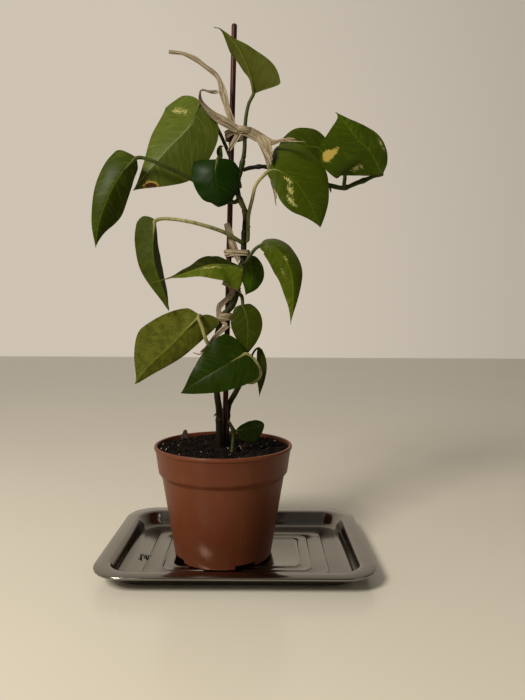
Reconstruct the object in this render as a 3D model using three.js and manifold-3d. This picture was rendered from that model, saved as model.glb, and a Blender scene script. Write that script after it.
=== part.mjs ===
// A young pothos trained up a stake in a 12 cm nursery pot, standing on a steel tray.
// Millimetres, +Z up, +X to the viewer's right, +Y away from the viewer.
// Origin: on the pot's axis, at the flat underside of the tray.
import * as THREE from "three";
import { mergeVertices } from "three/addons/utils/BufferGeometryUtils.js";
import Module from "manifold-3d";

const wasm = await Module();
wasm.setup();

// ---- driving dimensions ------------------------------------------------------------
const GAP = 0.3; // clearance that touching pieces keep
const MERGE_DISTANCE = 1e-3; // corners closer than this are one corner

const TRAY_LENGTH = 222;
const TRAY_WIDTH = 166;
const TRAY_HEIGHT = 14;
const TRAY_SHEET = 0.8;
const TRAY_CORNER = 27;
const TRAY_RIB = 0.7; // how far the pressed ribs stand up from the floor
const TRAY_RIB_HALF_SIZES = [[75.5, 47], [62, 39], [53, 32]]; // rounded rectangles
const TRAY_CENTRE = [13, 0]; // the pot stands left of the tray's middle

const POT_RIM_RADIUS = 60;
const POT_BASE_RADIUS = 42.2;
const POT_HEIGHT = 95.8;
const POT_WALL = 1.5;
const POT_COLLAR_HEIGHT = 22;
const POT_COLLAR_STEP = 2.6;
const POT_FLOOR = 3.5; // top of the floor above the foot
const POT_SIDES = 44;
const DRAIN_NOTCHES = 4; // cut in the foot
const FIRST_NOTCH = -60; // degrees, from +X towards +Y
const NOTCH_WIDTH = 19;
const NOTCH_HEIGHT = 4.4;

const SOIL_LEVEL = 94.6; // above the surface the tray stands on
const SOIL_BUMP = 0.6;
const SOIL_SPREAD = 2.3; // how much wider the soil is at its surface than at the collar's foot
const SOIL_MOUND = 1.2; // raised round the stems

const STAKE_RADIUS = 2.35;
const STAKE_FOOT = [-0.8, 0, 20];
const STAKE_TOP = [8.5, 0, 457];

const BLADE_THICKNESS = 0.9;
const BLADE_ROWS = 11; // base to tip
const BLADE_COLUMNS = 4; // rib to margin, on each half
const BLADE_TIP = 0.5; // half width left at the tip
const BLADE_SHOULDER = 0.3; // half width where the base begins, as a share of the greatest
const BLADE_FLAT = 7; // half width under which the fold eases off, so the halves stay apart
const USUAL_TAPER = [1.15, 1.15];
const STALK_SIDES = 6;

// ---- colours -----------------------------------------------------------------------
const STEEL = { color: 0x8f8e88, roughness: 0.3, metalness: 1 };
const TERRACOTTA = { color: 0x7a4530, roughness: 0.45, metalness: 0 };
const SOIL = { color: 0x1d1611, roughness: 0.95, metalness: 0 };
const BARK = { color: 0x2a1a14, roughness: 0.9, metalness: 0 };
const STAKE = { color: 0x54261d, roughness: 0.55, metalness: 0 };
const STEM = { color: 0x4a5a2a, roughness: 0.5, metalness: 0 };
const LEAF = { color: 0x3c5a1c, roughness: 0.35, metalness: 0 };
const RAFFIA = { color: 0xb8a588, roughness: 0.8, metalness: 0 };

// ---- vines: points on the axis and the radius at each --------------------------------
const VINES = {
  main_vine: {
    axis: [
      [-2.5, -8, 74], [-2.7, -8.5, 90], [-3.1, -8.5, 110], [-3.2, -8.5, 127], [-5, -9, 141],
      [-6.5, -9, 160], [-6.5, -8.5, 180], [-4.5, -8.5, 197], [1, -9.5, 210], [8, -9.5, 219],
      [11.4, -9, 231], [14.2, -7, 247], [16.8, -5, 259], [17.4, -4, 275], [18.4, -4, 297],
      [12.8, -5, 311], [11.4, -5.5, 322], [14.5, -6, 333], [16.8, -7, 343],
    ],
    radius: [3, 3, 3, 3.1, 2.8, 2.6, 2.4, 2.3, 2.2, 2.6, 3, 2.8, 2.6, 2.4, 2.5, 2.3, 2.3, 2.4, 2],
  },
  second_vine: {
    axis: [
      [2.2, 7.5, 76], [2.2, 7.5, 100], [2.8, 6.8, 118], [4, 5.5, 130], [6.6, 3, 136], [11.1, 0, 144],
      [15.5, -2.6, 156], [18.8, -4.5, 172],
    ],
    radius: [2.4, 2.4, 2.4, 2.4, 2.5, 2.4, 2.2, 2],
  },
  right_vine: {
    axis: [
      [16.6, -6, 333.2], [23, -5.5, 335.2], [35.5, -5, 336.2], [52, -2, 332], [72, 0, 326],
      [90.7, 0, 322], [103.4, 2, 320.5], [115, 3, 325], [123.4, 4, 328.3],
    ],
    radius: [1.7, 1.7, 1.8, 1.8, 1.9, 2, 2, 2, 2.1],
  },
  sprout_stem: {
    axis: [
      [7.6, -24, 80], [8.3, -24, 90], [9.3, -24, 103], [10, -23.5, 111], [8.5, -23.5, 116],
      [5.4, -23.5, 122],
    ],
    radius: [1.3, 1.3, 1.1, 1.3, 2, 0.4],
  },
};

// ---- leaves --------------------------------------------------------------------------
// stalk: from the vine up to, but not including, the blade's base
// rib:   the midrib, from the base of the blade to its tip
// face:  which way the upper side looks, at the base and at the tip
// half:  greatest half widths, left and right of the rib as seen from above, tip up
// fold:  degrees by which each half rises from flat, at the rib
// curl:  further degrees by which each half bends, from the rib to its margin
// lobe:  how far each half of the heart-shaped base reaches back past the stalk, as a share
//        of the length; below 0 where a half starts ahead of the stalk
// widest: where along the rib each half is widest
// taper: how much each half draws in towards the tip, where it isn't the usual amount
const LEAVES = {
  leaf_top: {
    stalk: [
      [17.1, -7.2, 344], [17.9, -8, 352], [18.1, -9, 365], [18.9, -9, 376], [21.1, -9, 387],
    ],
    rib: [
      [25.2, -9, 395.6], [22.7, -14, 407.8], [13.9, -18, 426.8], [0.4, -20.5, 441.5], [-7.2, -22, 443.5],
    ],
    face: [[0.1, 1, 0.1], [-0.2, 0.9, -0.1]],
    half: [23.5, 12], fold: [8, 69], curl: [-15, 0],
    lobe: [-0.02, -0.13], widest: [0.08, 0.58], taper: [2.9, 2.5],
  },
  leaf_upper_left: {
    stalk: [[13.5, 0, 322], [6, 9, 345], [-6, 8, 372], [-16, 0, 387]],
    rib: [
      [-19.4, -10, 387.4], [-27, -17, 366.8], [-44.3, -21, 347], [-60.5, -23, 327.6], [-73.5, -22, 311.8],
    ],
    face: [[-0.1, -1, 0.1], [-0.1, -1, 0]],
    half: [32, 34], fold: [-5, -12], curl: [-10, -15],
    lobe: [-0.05, 0.14], widest: [0.5, 0.18], taper: [1.15, 1.54],
  },
  leaf_far_left: {
    stalk: [
      [7, -8, 306], [-10, -20, 314], [-25.6, -28, 320.2], [-39, -32, 326.2],
      [-52.4, -34, 331.6], [-62, -34.5, 334.8],
    ],
    rib: [
      [-68.1, -35, 334.7], [-78.2, -40, 321.7], [-87.5, -42, 305.2], [-96.6, -41, 281.6], [-100.4, -37, 263.1],
    ],
    face: [[0.2, -0.95, 0], [0.2, -1, -0.1]],
    half: [17.9, 18.5], fold: [-25, -15], curl: [-25, -25],
    lobe: [-0.02, 0.03], widest: [0.56, 0.08], taper: [1.49, 1.06],
  },
  leaf_centre: {
    stalk: [[8.5, -9, 314], [3, -16, 322], [-1, -24, 333], [-2, -29, 337]],
    rib: [
      [-3, -33, 334.3], [-4.9, -36, 323.2], [-2.9, -36.5, 306.7], [-2.1, -34, 299.5], [-2.5, -29, 297.5],
    ],
    face: [[0, -0.9, 0.35], [0, -0.8, -0.6]],
    half: [21.3, 20.7], fold: [-5, -3], curl: [-35, -25],
    lobe: [0.15, 0.01], widest: [0.18, 0.09], taper: [0.43, 0.47],
  },
  leaf_left: {
    stalk: [
      [14.5, -7, 272.5], [3.1, -11, 278.8], [-10.8, -16, 283.3], [-29.3, -21, 287.2], [-46.3, -24, 288.7],
    ],
    rib: [
      [-54.6, -25, 286.7], [-56, -28, 267.3], [-53.8, -30, 248.4], [-46.1, -30, 226.3], [-42.9, -30, 212.8],
    ],
    face: [[0.2, 1, 0], [0, 1, 0]],
    half: [15.8, 13.4], fold: [5, 80], curl: [-20, 0],
    lobe: [0.09, -0.16], widest: [0.13, 0.42], taper: [0.89, 1.14],
  },
  leaf_middle_left: {
    stalk: [[17.6, -11, 247.5], [18.5, -13.5, 246]],
    rib: [
      [16.8, -17, 250.1], [1.9, -22, 251.5], [-10.6, -29, 250.3], [-33.5, -37, 241.5], [-54, -45, 234.7],
    ],
    face: [[0.1, -0.8, 0.7], [-0.1, -0.5, 1]],
    half: [21.7, 10], fold: [-5, 8], curl: [-25, -5],
    lobe: [0.02, -0.17], widest: [0.08, 0.26], taper: [2.67, 2.22],
  },
  leaf_middle_right: {
    stalk: [[19, -8.5, 254.5], [22.5, -9, 260], [27, -9.5, 266]],
    rib: [
      [30.9, -11, 268.7], [38.1, -14, 269.8], [48.8, -16, 262], [57.5, -16, 245.7], [59.4, -15, 222.9],
      [57.4, -14, 202.2],
    ],
    face: [[0.1, -0.8, 0.6], [0.1, -1, 0]],
    half: [21, 13.9], fold: [-20, -25], curl: [-25, -15],
    lobe: [0.05, 0.01], widest: [0.11, 0.38], taper: [1.67, 1.41],
  },
  leaf_middle_back: {
    stalk: [[17.6, 1, 259.5], [19, 5, 262]],
    rib: [[21.5, 9, 262], [23.5, 11, 250], [22.5, 12, 238], [18.5, 10, 228]],
    face: [[0.1, -0.9, 0.2], [0, -1, 0]],
    half: [11.5, 11.5], fold: [5, 5], curl: [-15, -15], lobe: [0.02, 0.06], widest: [0.45, 0.35],
  },
  leaf_low_left: {
    stalk: [[-3, -13, 181], [-8, -20, 182.5], [-12.5, -25, 188], [-16, -26, 199], [-19.5, -25, 208]],
    rib: [
      [-18.4, -20, 209.1], [-28.9, -22, 198.4], [-42.8, -26, 183.5], [-59.8, -31, 167.3], [-70.4, -34, 153.3],
    ],
    face: [[0.1, 1, 0.1], [0, 1, 0.1]],
    half: [26.8, 16.9], fold: [5, 15], curl: [-10, 10],
    lobe: [0, 0.17], widest: [0.55, 0.08], taper: [1.64, 0.74],
  },
  leaf_low_front: {
    stalk: [[16, -8.5, 154], [26, -12, 153], [32, -19, 160], [30, -24.5, 168.5], [25, -27, 175]],
    rib: [
      [20.1, -28, 178], [10.3, -32, 172.8], [-2.2, -35, 165.8], [-18.9, -36, 155.8], [-32.8, -34, 146],
    ],
    face: [[0, -0.95, 0.3], [0, -1, 0.1]],
    half: [23, 23.9], fold: [8, 5], curl: [-15, -15],
    lobe: [0.08, 0.04], widest: [0.12, 0.15], taper: [0.86, 1.29],
  },
  leaf_low_right: {
    stalk: [[15, -12, 227], [16.5, -14.5, 224]],
    rib: [[17, -16, 218.5], [20.5, -17, 206], [21, -18, 190], [19.5, -18, 175]],
    face: [[0.1, -0.95, 0.2], [0, -1, 0]],
    half: [13, 14], fold: [5, 0], curl: [-20, -20], lobe: [0.02, 0.04], widest: [0.35, 0.35],
  },
  leaf_low_small: {
    stalk: [[21.6, -4, 168], [25, -5.5, 176], [27.8, -6.5, 180.5]],
    rib: [[31, -8, 182], [33, -9, 169], [32.5, -9, 154], [31.3, -8, 140.5]],
    face: [[0.4, -0.9, 0.1], [0.4, -0.9, 0]],
    half: [4.5, 5.5], fold: [15, 15], curl: [5, 5], lobe: [0, 0], widest: [0.4, 0.4],
  },
  leaf_sprout: {
    stalk: [[10.3, -23.3, 112.9]],
    rib: [[12, -23, 113.5], [20.3, -20, 114.2], [27.5, -17, 115.2], [35.5, -15, 117.2]],
    face: [[0, -0.8, 0.55], [0, -0.8, 0.5]],
    half: [6.5, 12.1], fold: [5, 0], curl: [-10, -15],
    lobe: [-0.09, -0.02], widest: [0.63, 0.43], taper: [0.47, 0.74],
  },
  leaf_right: {
    stalk: [[20.6, -4.5, 275], [21.2, -8, 293], [24.5, -13, 307], [28, -16, 319]],
    rib: [
      [37.1, -20, 328.2], [44.9, -26, 328.1], [59.8, -30, 317.3], [71.9, -32, 299], [80, -31, 280.9],
    ],
    face: [[0.1, -0.95, 0.4], [0.3, -1, 0.1]],
    half: [38.5, 19.7], fold: [-3, 0], curl: [-15, -15],
    lobe: [0.09, -0.03], widest: [0.14, 0.54], taper: [0.88, 1.38],
  },
  leaf_right_back: {
    stalk: [[104, 5, 323.5], [105, 9, 334], [101, 10.5, 344], [95, 9.5, 350]],
    rib: [[89, 8, 354.4], [74, 6, 357], [58.5, 5, 354], [43.8, 5, 344.8]],
    face: [[0.1, -0.95, 0.2], [0, -1, 0.1]],
    half: [20, 20], fold: [-5, -5], curl: [-15, -15], lobe: [0.04, 0.04], widest: [0.4, 0.4],
  },
  leaf_far_right: {
    stalk: [[126.2, 3.6, 329.5], [130, 3.4, 331]],
    rib: [
      [135.8, -1, 331.3], [123.9, -8, 347.8], [110.6, -12, 359.4], [103.4, -12, 369], [94.5, -6, 382],
    ],
    face: [[-0.1, -1, 0.1], [0.1, -1, 0.1]],
    half: [42.2, 17.5], fold: [8, -5], curl: [10, -20],
    lobe: [-0.14, -0.03], widest: [0.55, 0.38], taper: [2.59, 1.16],
  },
  young_leaf: {
    stalk: [[8.6, -9.5, 325], [3, -14.5, 333]],
    rib: [[-1.3, -19, 338.5], [-2.3, -20, 343], [-1.6, -20, 348], [0.6, -19, 349]],
    face: [[0, -1, 0.2], [0, -1, 0.2]],
    half: [3.4, 3.4], fold: [25, 25], curl: [40, 40], lobe: [0, 0], widest: [0.4, 0.4],
  },
};
const STALK_RADIUS = { vine: 1.9, blade: 1.5 };
const SMALL_STALK_RADIUS = { vine: 1.2, blade: 0.9 };
const SMALL_LEAVES = ["leaf_sprout", "leaf_low_small", "young_leaf"];

// ---- raffia: flat strips, each by its middle line, widths and the way its width runs ---
const RAFFIA_THICKNESS = 0.7;
const RAFFIA_TIES = {
  raffia_upper: [
    {
      line: [
        [-44.6, -16, 426.8], [-27.5, -16, 423.6], [-14, -15, 414.5], [-3.1, -14, 405.9], [0, -14, 393.3],
        [7, -14, 372], [13, -13.6, 364],
      ],
      width: [2.6, 3, 3.4, 4, 4.5, 5, 6], across: [0.4, 0, 1],
    },
    {
      line: [
        [13, -13.6, 364], [2.4, -14, 370], [-10.7, -17, 377.1], [-17.7, -20.5, 384], [-18.6, -22, 390.2],
        [-15.9, -22, 394.4], [-10.9, -19, 393.2], [-1.6, -14.6, 396],
      ],
      width: [7, 8, 8, 6, 4, 2.6, 2.6, 2.6], across: [0.7, 0.45, 0.8],
    },
    {
      line: [
        [13, -13.6, 364], [20, -13.6, 363], [28, -13, 359.5], [36, -12.5, 356.2], [41, -14.5, 353.6],
        [49, -21, 353.6], [54, -26.5, 352.4], [66.5, -33.5, 348.8],
      ],
      width: [7, 7, 9, 6, 2.6, 2.4, 2.4, 2.2], across: [0.3, 0, 1],
    },
    {
      line: [[30, -13, 359], [36, -17.5, 350], [39.5, -23.5, 341], [41.5, -26.5, 333]],
      width: [7, 7.5, 7, 4.5], across: [1, 0, 0.3],
    },
    {
      line: [[14.5, -13.6, 364], [9.5, -13.6, 356], [5, -13.2, 346.5]],
      width: [5, 4.5, 3.4], across: [1, 0, -0.6],
    },
    {
      line: [
        [30, -12.4, 358], [36, -7.9, 345], [39, -7.8, 336], [41, -9, 326], [44, -12, 312],
        [45.5, -13, 302],
      ],
      width: [5, 4, 4, 3.6, 3.6], across: [1, 0, 0.3],
    },
  ],
  raffia_middle: [
    {
      line: [[2.6, -6, 288], [5, -6.5, 279], [8.5, -7.4, 268], [11.5, -8.3, 260], [14, -9.7, 254]],
      width: [4.5, 5.5, 6, 5.5, 4], across: [1, 0, 0.2],
    },
  ],
  raffia_lower: [
    {
      line: [[0, -11.6, 238], [7, -13.6, 235], [15.5, -13, 230.5]],
      width: [4.5, 4.5, 3.6], across: [0.3, 0, 1],
    },
    {
      line: [
        [5, -13.4, 236], [8.5, -13.2, 229], [2, -13.4, 222], [-3.4, -13, 216], [-2, -13, 208],
        [4, -13.4, 201], [8.4, -13, 199.6],
      ],
      width: [4, 4.4, 5, 5, 4.4, 4, 3.4], across: [1, 0, 0.5],
    },
    {
      line: [[4, -13.4, 201], [-5, -13.6, 193], [-13, -16, 183], [-19, -18, 177.6], [-24.3, -18.6, 179.2]],
      width: [3.4, 3.4, 3.6, 4, 4], across: [0.3, 0, 1],
    },
  ],
};
// where each tie goes round the stake and the vine: height, centre, half sizes, turn
const TIE_LOOPS = {
  raffia_upper: { z: 363.5, centre: [12.9, -4.6], half: [13, 7.6], turn: -38, height: 5 },
  raffia_middle: { z: 263, centre: [11.3, -2.4], half: [10.6, 5.7], turn: -23, height: 4.5 },
  raffia_lower: { z: 208, centre: [2.6, -4.8], half: [9.6, 7.4], turn: -100, height: 4.5 },
};

const BARK_CHIP = {
  line: [[-38, 32, 91], [-38, 32, 97], [-38.5, 33, 103.5]], width: [11, 9, 2.4], across: [1, 0.3, 0],
};

// ---- shape helpers -------------------------------------------------------------------
const vector = (p) => new THREE.Vector3(p[0], p[1], p[2]);
const radians = THREE.MathUtils.degToRad;

function smoothCurve(points) {
  return new THREE.CatmullRomCurve3(points.map(vector), false, "catmullrom", 0.5);
}

// Value of an evenly spaced list at a share t of its length.
function along(list, t) {
  const place = t * (list.length - 1);
  const low = Math.min(Math.floor(place), list.length - 2);
  return THREE.MathUtils.lerp(list[low], list[low + 1], place - low);
}

// The triangles between each ring of a stack and the next.
function sideFaces(ringCount, count) {
  const faces = [];
  for (let i = 0; i < ringCount - 1; i += 1) {
    for (let j = 0; j < count; j += 1) {
      const a = i * count + j;
      const b = i * count + (j + 1) % count;
      faces.push([a, b, a + count], [b, b + count, a + count]);
    }
  }
  return faces;
}

// A closed solid over a stack of rings with equally many points, capped at both ends.
// A cap fans from the ring's first point, or from the middle where the ring is round.
function loft(rings, roundCaps = true) {
  const count = rings[0].length;
  const points = rings.flat();
  const faces = sideFaces(rings.length, count);
  const cap = (start, turned) => {
    const middle = points.length;
    if (roundCaps) {
      const centre = new THREE.Vector3();
      for (let j = 0; j < count; j += 1) {
        centre.add(points[start + j]);
      }
      points.push(centre.divideScalar(count));
    }
    const first = roundCaps ? 0 : 1;
    const last = roundCaps ? count : count - 1;
    for (let j = first; j < last; j += 1) {
      const hub = roundCaps ? middle : start;
      const face = [hub, start + (j + 1) % count, start + j];
      faces.push(turned ? face.reverse() : face);
    }
  };
  cap(0, false);
  cap((rings.length - 1) * count, true);
  return solidFromFaces(points, faces);
}

// A manifold solid from points and triangles, turned so that its faces point out.
function solidFromFaces(points, faces) {
  let volume = 0;
  for (const [a, b, c] of faces) {
    volume += points[a].dot(new THREE.Vector3().crossVectors(points[b], points[c]));
  }
  const ordered = volume < 0 ? faces.map(([a, b, c]) => [a, c, b]) : faces;
  return new wasm.Manifold(new wasm.Mesh({
    numProp: 3,
    vertProperties: Float32Array.from(points.flatMap((p) => [p.x, p.y, p.z])),
    triVerts: Uint32Array.from(ordered.flat()),
  }));
}

function solidFromGeometry(geometry) {
  geometry.deleteAttribute("normal");
  geometry.deleteAttribute("uv");
  const merged = mergeVertices(geometry, MERGE_DISTANCE);
  return new wasm.Manifold(new wasm.Mesh({
    numProp: 3,
    vertProperties: Float32Array.from(merged.attributes.position.array),
    triVerts: Uint32Array.from(merged.index.array),
  }));
}

function geometryFromSolid(solid) {
  const mesh = solid.getMesh();
  const geometry = new THREE.BufferGeometry();
  geometry.setAttribute("position", new THREE.BufferAttribute(mesh.vertProperties, 3));
  geometry.setIndex(new THREE.BufferAttribute(mesh.triVerts, 1));
  geometry.computeVertexNormals();
  return geometry;
}

const unite = (solids) => solids.reduce((whole, next) => whole.add(next));

// The largest connected piece of a solid: what is left when a neighbour has cut it.
// Its corners are merged first, so that a neck of no width counts as a cut.
function largestPiece(solid) {
  const pieces = solidFromGeometry(geometryFromSolid(solid)).decompose();
  return pieces.reduce((best, next) => (next.volume() > best.volume() ? next : best));
}

// A round limb along a smooth curve, its radius given at evenly spaced points.
function limb(axis, radii, sides, steps, extra = 0) {
  const curve = smoothCurve(axis);
  const frames = curve.computeFrenetFrames(steps, false);
  const rings = [];
  for (let i = 0; i <= steps; i += 1) {
    const t = i / steps;
    const centre = curve.getPointAt(t);
    const radius = along(radii, t) + extra;
    const ring = [];
    for (let j = 0; j < sides; j += 1) {
      const angle = (2 * Math.PI * j) / sides;
      ring.push(centre.clone()
        .addScaledVector(frames.normals[i], radius * Math.cos(angle))
        .addScaledVector(frames.binormals[i], radius * Math.sin(angle)));
    }
    rings.push(ring);
  }
  return loft(rings);
}

// ---- leaf blade ----------------------------------------------------------------------
// Half width at a share t of the rib, as a share of the greatest half width: a rounded
// shoulder up to the widest place, then a curve that draws out into the tip.
function bladeOutline(t, widest, taper) {
  if (t < widest) {
    const rise = Math.sin((Math.PI / 2) * (t / widest)) ** 0.7;
    return BLADE_SHOULDER + (1 - BLADE_SHOULDER) * rise;
  }
  return Math.cos((Math.PI / 2) * ((t - widest) / (1 - widest))) ** taper;
}

// A point of the blade's middle surface, at a share t of the rib and a share s of the half
// width, which is negative on the left half. The rows sweep back near the base, which
// makes the two lobes of the heart. A lobe that sweeps forward starts after the first row,
// so that the rows don't cross.
function bladePoint(leaf, curve, length, t, s) {
  const side = s < 0 ? 0 : 1;
  const across = Math.abs(s);
  const outline = bladeOutline(t, leaf.widest[side], (leaf.taper ?? USUAL_TAPER)[side]);
  const width = Math.max(leaf.half[side] * outline, BLADE_TIP);
  const sweep = leaf.lobe[side] < 0 ? leaf.lobe[side] * Math.min(1, t * BLADE_ROWS) : leaf.lobe[side];
  const back = sweep * length * (1 - t) ** 2 * across ** 1.5;
  const ease = Math.min(1, width / BLADE_FLAT);
  const centre = curve.getPointAt(t);
  const forward = curve.getTangentAt(t);
  const face = vector(leaf.face[0]).lerp(vector(leaf.face[1]), t);
  face.addScaledVector(forward, -face.dot(forward)).normalize();
  const right = new THREE.Vector3().crossVectors(forward, face);
  const slices = 6;
  let out = 0;
  let up = 0;
  for (let i = 0; i < slices; i += 1) {
    const middle = (across * (i + 0.5)) / slices;
    const angle = ease * radians(leaf.fold[side] + leaf.curl[side] * middle);
    out += (Math.cos(angle) * width * across) / slices;
    up += (Math.sin(angle) * width * across) / slices;
  }
  return centre
    .addScaledVector(forward, -back)
    .addScaledVector(right, s < 0 ? -out : out)
    .addScaledVector(face, up);
}

function bladeSolid(leaf) {
  const curve = smoothCurve(leaf.rib);
  const length = curve.getLength();
  const columns = 2 * BLADE_COLUMNS + 1;
  const grid = [];
  for (let i = 0; i <= BLADE_ROWS; i += 1) {
    const row = [];
    for (let j = 0; j < columns; j += 1) {
      row.push(bladePoint(leaf, curve, length, i / BLADE_ROWS, j / BLADE_COLUMNS - 1));
    }
    grid.push(row);
  }
  const normalAt = (i, j) => {
    const down = grid[Math.min(i + 1, BLADE_ROWS)][j].clone().sub(grid[Math.max(i - 1, 0)][j]);
    const over = grid[i][Math.min(j + 1, columns - 1)].clone().sub(grid[i][Math.max(j - 1, 0)]);
    return over.cross(down).normalize();
  };
  const rings = grid.map((row, i) => {
    const upper = row.map((p, j) => p.clone().addScaledVector(normalAt(i, j), BLADE_THICKNESS / 2));
    const lower = row.map((p, j) => p.clone().addScaledVector(normalAt(i, j), -BLADE_THICKNESS / 2));
    return upper.concat(lower.reverse());
  });
  return loftFlat(rings, columns);
}

// A loft of flat rings, each an upper row followed by the lower row reversed; the end caps
// are strips between the two rows, so that they stay in a bent ring's own surface.
function loftFlat(rings, columns) {
  const count = 2 * columns;
  const points = rings.flat();
  const faces = sideFaces(rings.length, count);
  for (const [start, turned] of [[0, false], [(rings.length - 1) * count, true]]) {
    for (let j = 0; j < columns - 1; j += 1) {
      const a = start + j;
      const b = start + j + 1;
      const c = start + count - 2 - j;
      const d = start + count - 1 - j;
      for (const face of [[a, d, b], [b, d, c]]) {
        faces.push(turned ? face.reverse() : face);
      }
    }
  }
  return solidFromFaces(points, faces);
}

// The stalk runs a little way under the blade, as the thick start of its rib.
function stalkSolid(name, leaf, extra = 0) {
  const size = SMALL_LEAVES.includes(name) ? SMALL_STALK_RADIUS : STALK_RADIUS;
  const rib = smoothCurve(leaf.rib);
  const under = rib.getPointAt(0.12).toArray();
  const axis = [...leaf.stalk, leaf.rib[0], under];
  const steps = Math.max(4, 2 * leaf.stalk.length + 2);
  return limb(axis, [size.vine, size.blade, size.blade * 0.6], STALK_SIDES, steps, extra);
}

// ---- raffia strips -------------------------------------------------------------------
function stripSolid(strip) {
  const curve = smoothCurve(strip.line);
  const steps = 2 * strip.line.length;
  const across = vector(strip.across);
  const rings = [];
  for (let i = 0; i <= steps; i += 1) {
    const t = i / steps;
    const centre = curve.getPointAt(t);
    const forward = curve.getTangentAt(t);
    const wide = across.clone().addScaledVector(forward, -across.dot(forward)).normalize();
    const thick = new THREE.Vector3().crossVectors(forward, wide);
    const half = along(strip.width, t) / 2;
    const corner = (a, b) => centre.clone()
      .addScaledVector(wide, a * half)
      .addScaledVector(thick, (b * RAFFIA_THICKNESS) / 2);
    rings.push([corner(-1, -1), corner(1, -1), corner(1, 1), corner(-1, 1)]);
  }
  return loft(rings, false);
}

// A band round the stake and the vine, as a flattened ring with an oval plan.
function loopSolid(loop) {
  const sides = 20;
  const wall = RAFFIA_THICKNESS * 1.5;
  const rings = [];
  const faces = [];
  const points = [];
  for (let i = 0; i < sides; i += 1) {
    const angle = (2 * Math.PI * i) / sides;
    const ring = [];
    for (const [grow, lift] of [[0, -1], [wall, -1], [wall, 1], [0, 1]]) {
      const x = (loop.half[0] + grow) * Math.cos(angle);
      const y = (loop.half[1] + grow) * Math.sin(angle);
      const turn = radians(loop.turn);
      ring.push(new THREE.Vector3(
        loop.centre[0] + x * Math.cos(turn) - y * Math.sin(turn),
        loop.centre[1] + x * Math.sin(turn) + y * Math.cos(turn),
        loop.z + (lift * loop.height) / 2,
      ));
    }
    rings.push(ring);
  }
  points.push(...rings.flat());
  const corners = 4;
  for (let i = 0; i < sides; i += 1) {
    const next = (i + 1) % sides;
    for (let j = 0; j < corners; j += 1) {
      const a = i * corners + j;
      const b = i * corners + (j + 1) % corners;
      const c = next * corners + j;
      const d = next * corners + (j + 1) % corners;
      faces.push([a, b, c], [b, d, c]);
    }
  }
  return solidFromFaces(points, faces);
}

// ---- pot, tray and soil ----------------------------------------------------------------
const POT_FOOT = TRAY_SHEET + TRAY_RIB + GAP;

// Radius of the outside where the collar ends, and just under its step.
const COLLAR_FOOT = POT_RIM_RADIUS - 3.6;
const BODY_TOP = COLLAR_FOOT - POT_COLLAR_STEP - 0.8;

// Thin-walled: a rolled rim, a tall collar, a small step and a body that narrows to the foot.
function potSolid() {
  const wall = POT_WALL;
  const top = POT_HEIGHT;
  const rim = POT_RIM_RADIUS;
  const collar = top - POT_COLLAR_HEIGHT;
  const shoulder = collar - 5;
  const base = POT_BASE_RADIUS;
  const profile = [
    [0, 2], [base - 6, 2], [base - 4.4, 0], [base - 1, 0], [base, 1.2],
    [BODY_TOP, shoulder - 1], [BODY_TOP + 0.9, shoulder + 1.2],
    [COLLAR_FOOT - 0.6, collar - 1.2], [COLLAR_FOOT, collar + 1],
    [rim - 1.1, top - 3.2], [rim, top - 2.2], [rim, top - 0.7], [rim - 0.8, top], [rim - 2, top],
    [rim - 2.6, top - 1], [rim - 2.7, top - 3.4],
    [COLLAR_FOOT - wall, collar + 1.4], [COLLAR_FOOT - wall - 0.8, collar - 0.6],
    [BODY_TOP - wall + 0.8, shoulder + 1.6], [BODY_TOP - wall, shoulder - 0.6],
    [base - wall, 4.2], [base - wall - 1.2, POT_FLOOR], [0, POT_FLOOR],
  ];
  const points = profile.map(([r, z]) => new THREE.Vector2(r, z));
  const lathe = new THREE.LatheGeometry(points, POT_SIDES);
  lathe.rotateX(Math.PI / 2);
  lathe.translate(0, 0, POT_FOOT);
  let pot = solidFromGeometry(lathe);
  for (let i = 0; i < DRAIN_NOTCHES; i += 1) {
    const notch = new THREE.BoxGeometry(9, NOTCH_WIDTH, NOTCH_HEIGHT);
    notch.translate(base - 2.5, 0, POT_FOOT + NOTCH_HEIGHT / 2 - 1);
    notch.rotateZ(radians(FIRST_NOTCH + (360 / DRAIN_NOTCHES) * i));
    pot = pot.subtract(solidFromGeometry(notch));
  }
  return pot;
}

// The soil's surface over a point of the pot's plan.
function soilHeight(x, y) {
  const mound = SOIL_MOUND * Math.exp(-(x * x + y * y) / 500);
  const broad = Math.sin(0.31 * x + 1.3) * Math.cos(0.27 * y);
  const fine = Math.sin(0.53 * y + 0.19 * x);
  return SOIL_LEVEL + mound + SOIL_BUMP * (broad + 0.7 * fine);
}

// The potting soil fills the pot from its floor; the top is uneven and a little mounded.
function soilSolid() {
  const sides = 36;
  const floor = POT_FOOT + POT_FLOOR + GAP;
  const collar = POT_FOOT + POT_HEIGHT - POT_COLLAR_HEIGHT;
  const low = POT_BASE_RADIUS - POT_WALL - GAP;
  const middle = BODY_TOP - POT_WALL - GAP;
  const wide = COLLAR_FOOT - POT_WALL - GAP - 0.3;
  const top = wide + SOIL_SPREAD;
  const levels = [
    [low / 2, floor], [low - 1.4, floor], [low - 0.2, floor + 1.4],
    [middle - 0.2, collar - 6.4], [wide - 0.3, collar + 1.8], [top - 0.5, SOIL_LEVEL - 2.6],
  ];
  const ringOf = (radius, heightAt) => {
    const ring = [];
    for (let j = 0; j < sides; j += 1) {
      const angle = (2 * Math.PI * j) / sides;
      const x = radius * Math.cos(angle);
      const y = radius * Math.sin(angle);
      ring.push(new THREE.Vector3(x, y, heightAt(x, y)));
    }
    return ring;
  };
  const rings = levels.map(([radius, height]) => ringOf(radius, () => height));
  for (const share of [1, 0.85, 0.65, 0.35]) {
    rings.push(ringOf(top * share, soilHeight));
  }
  return loft(rings);
}

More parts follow.
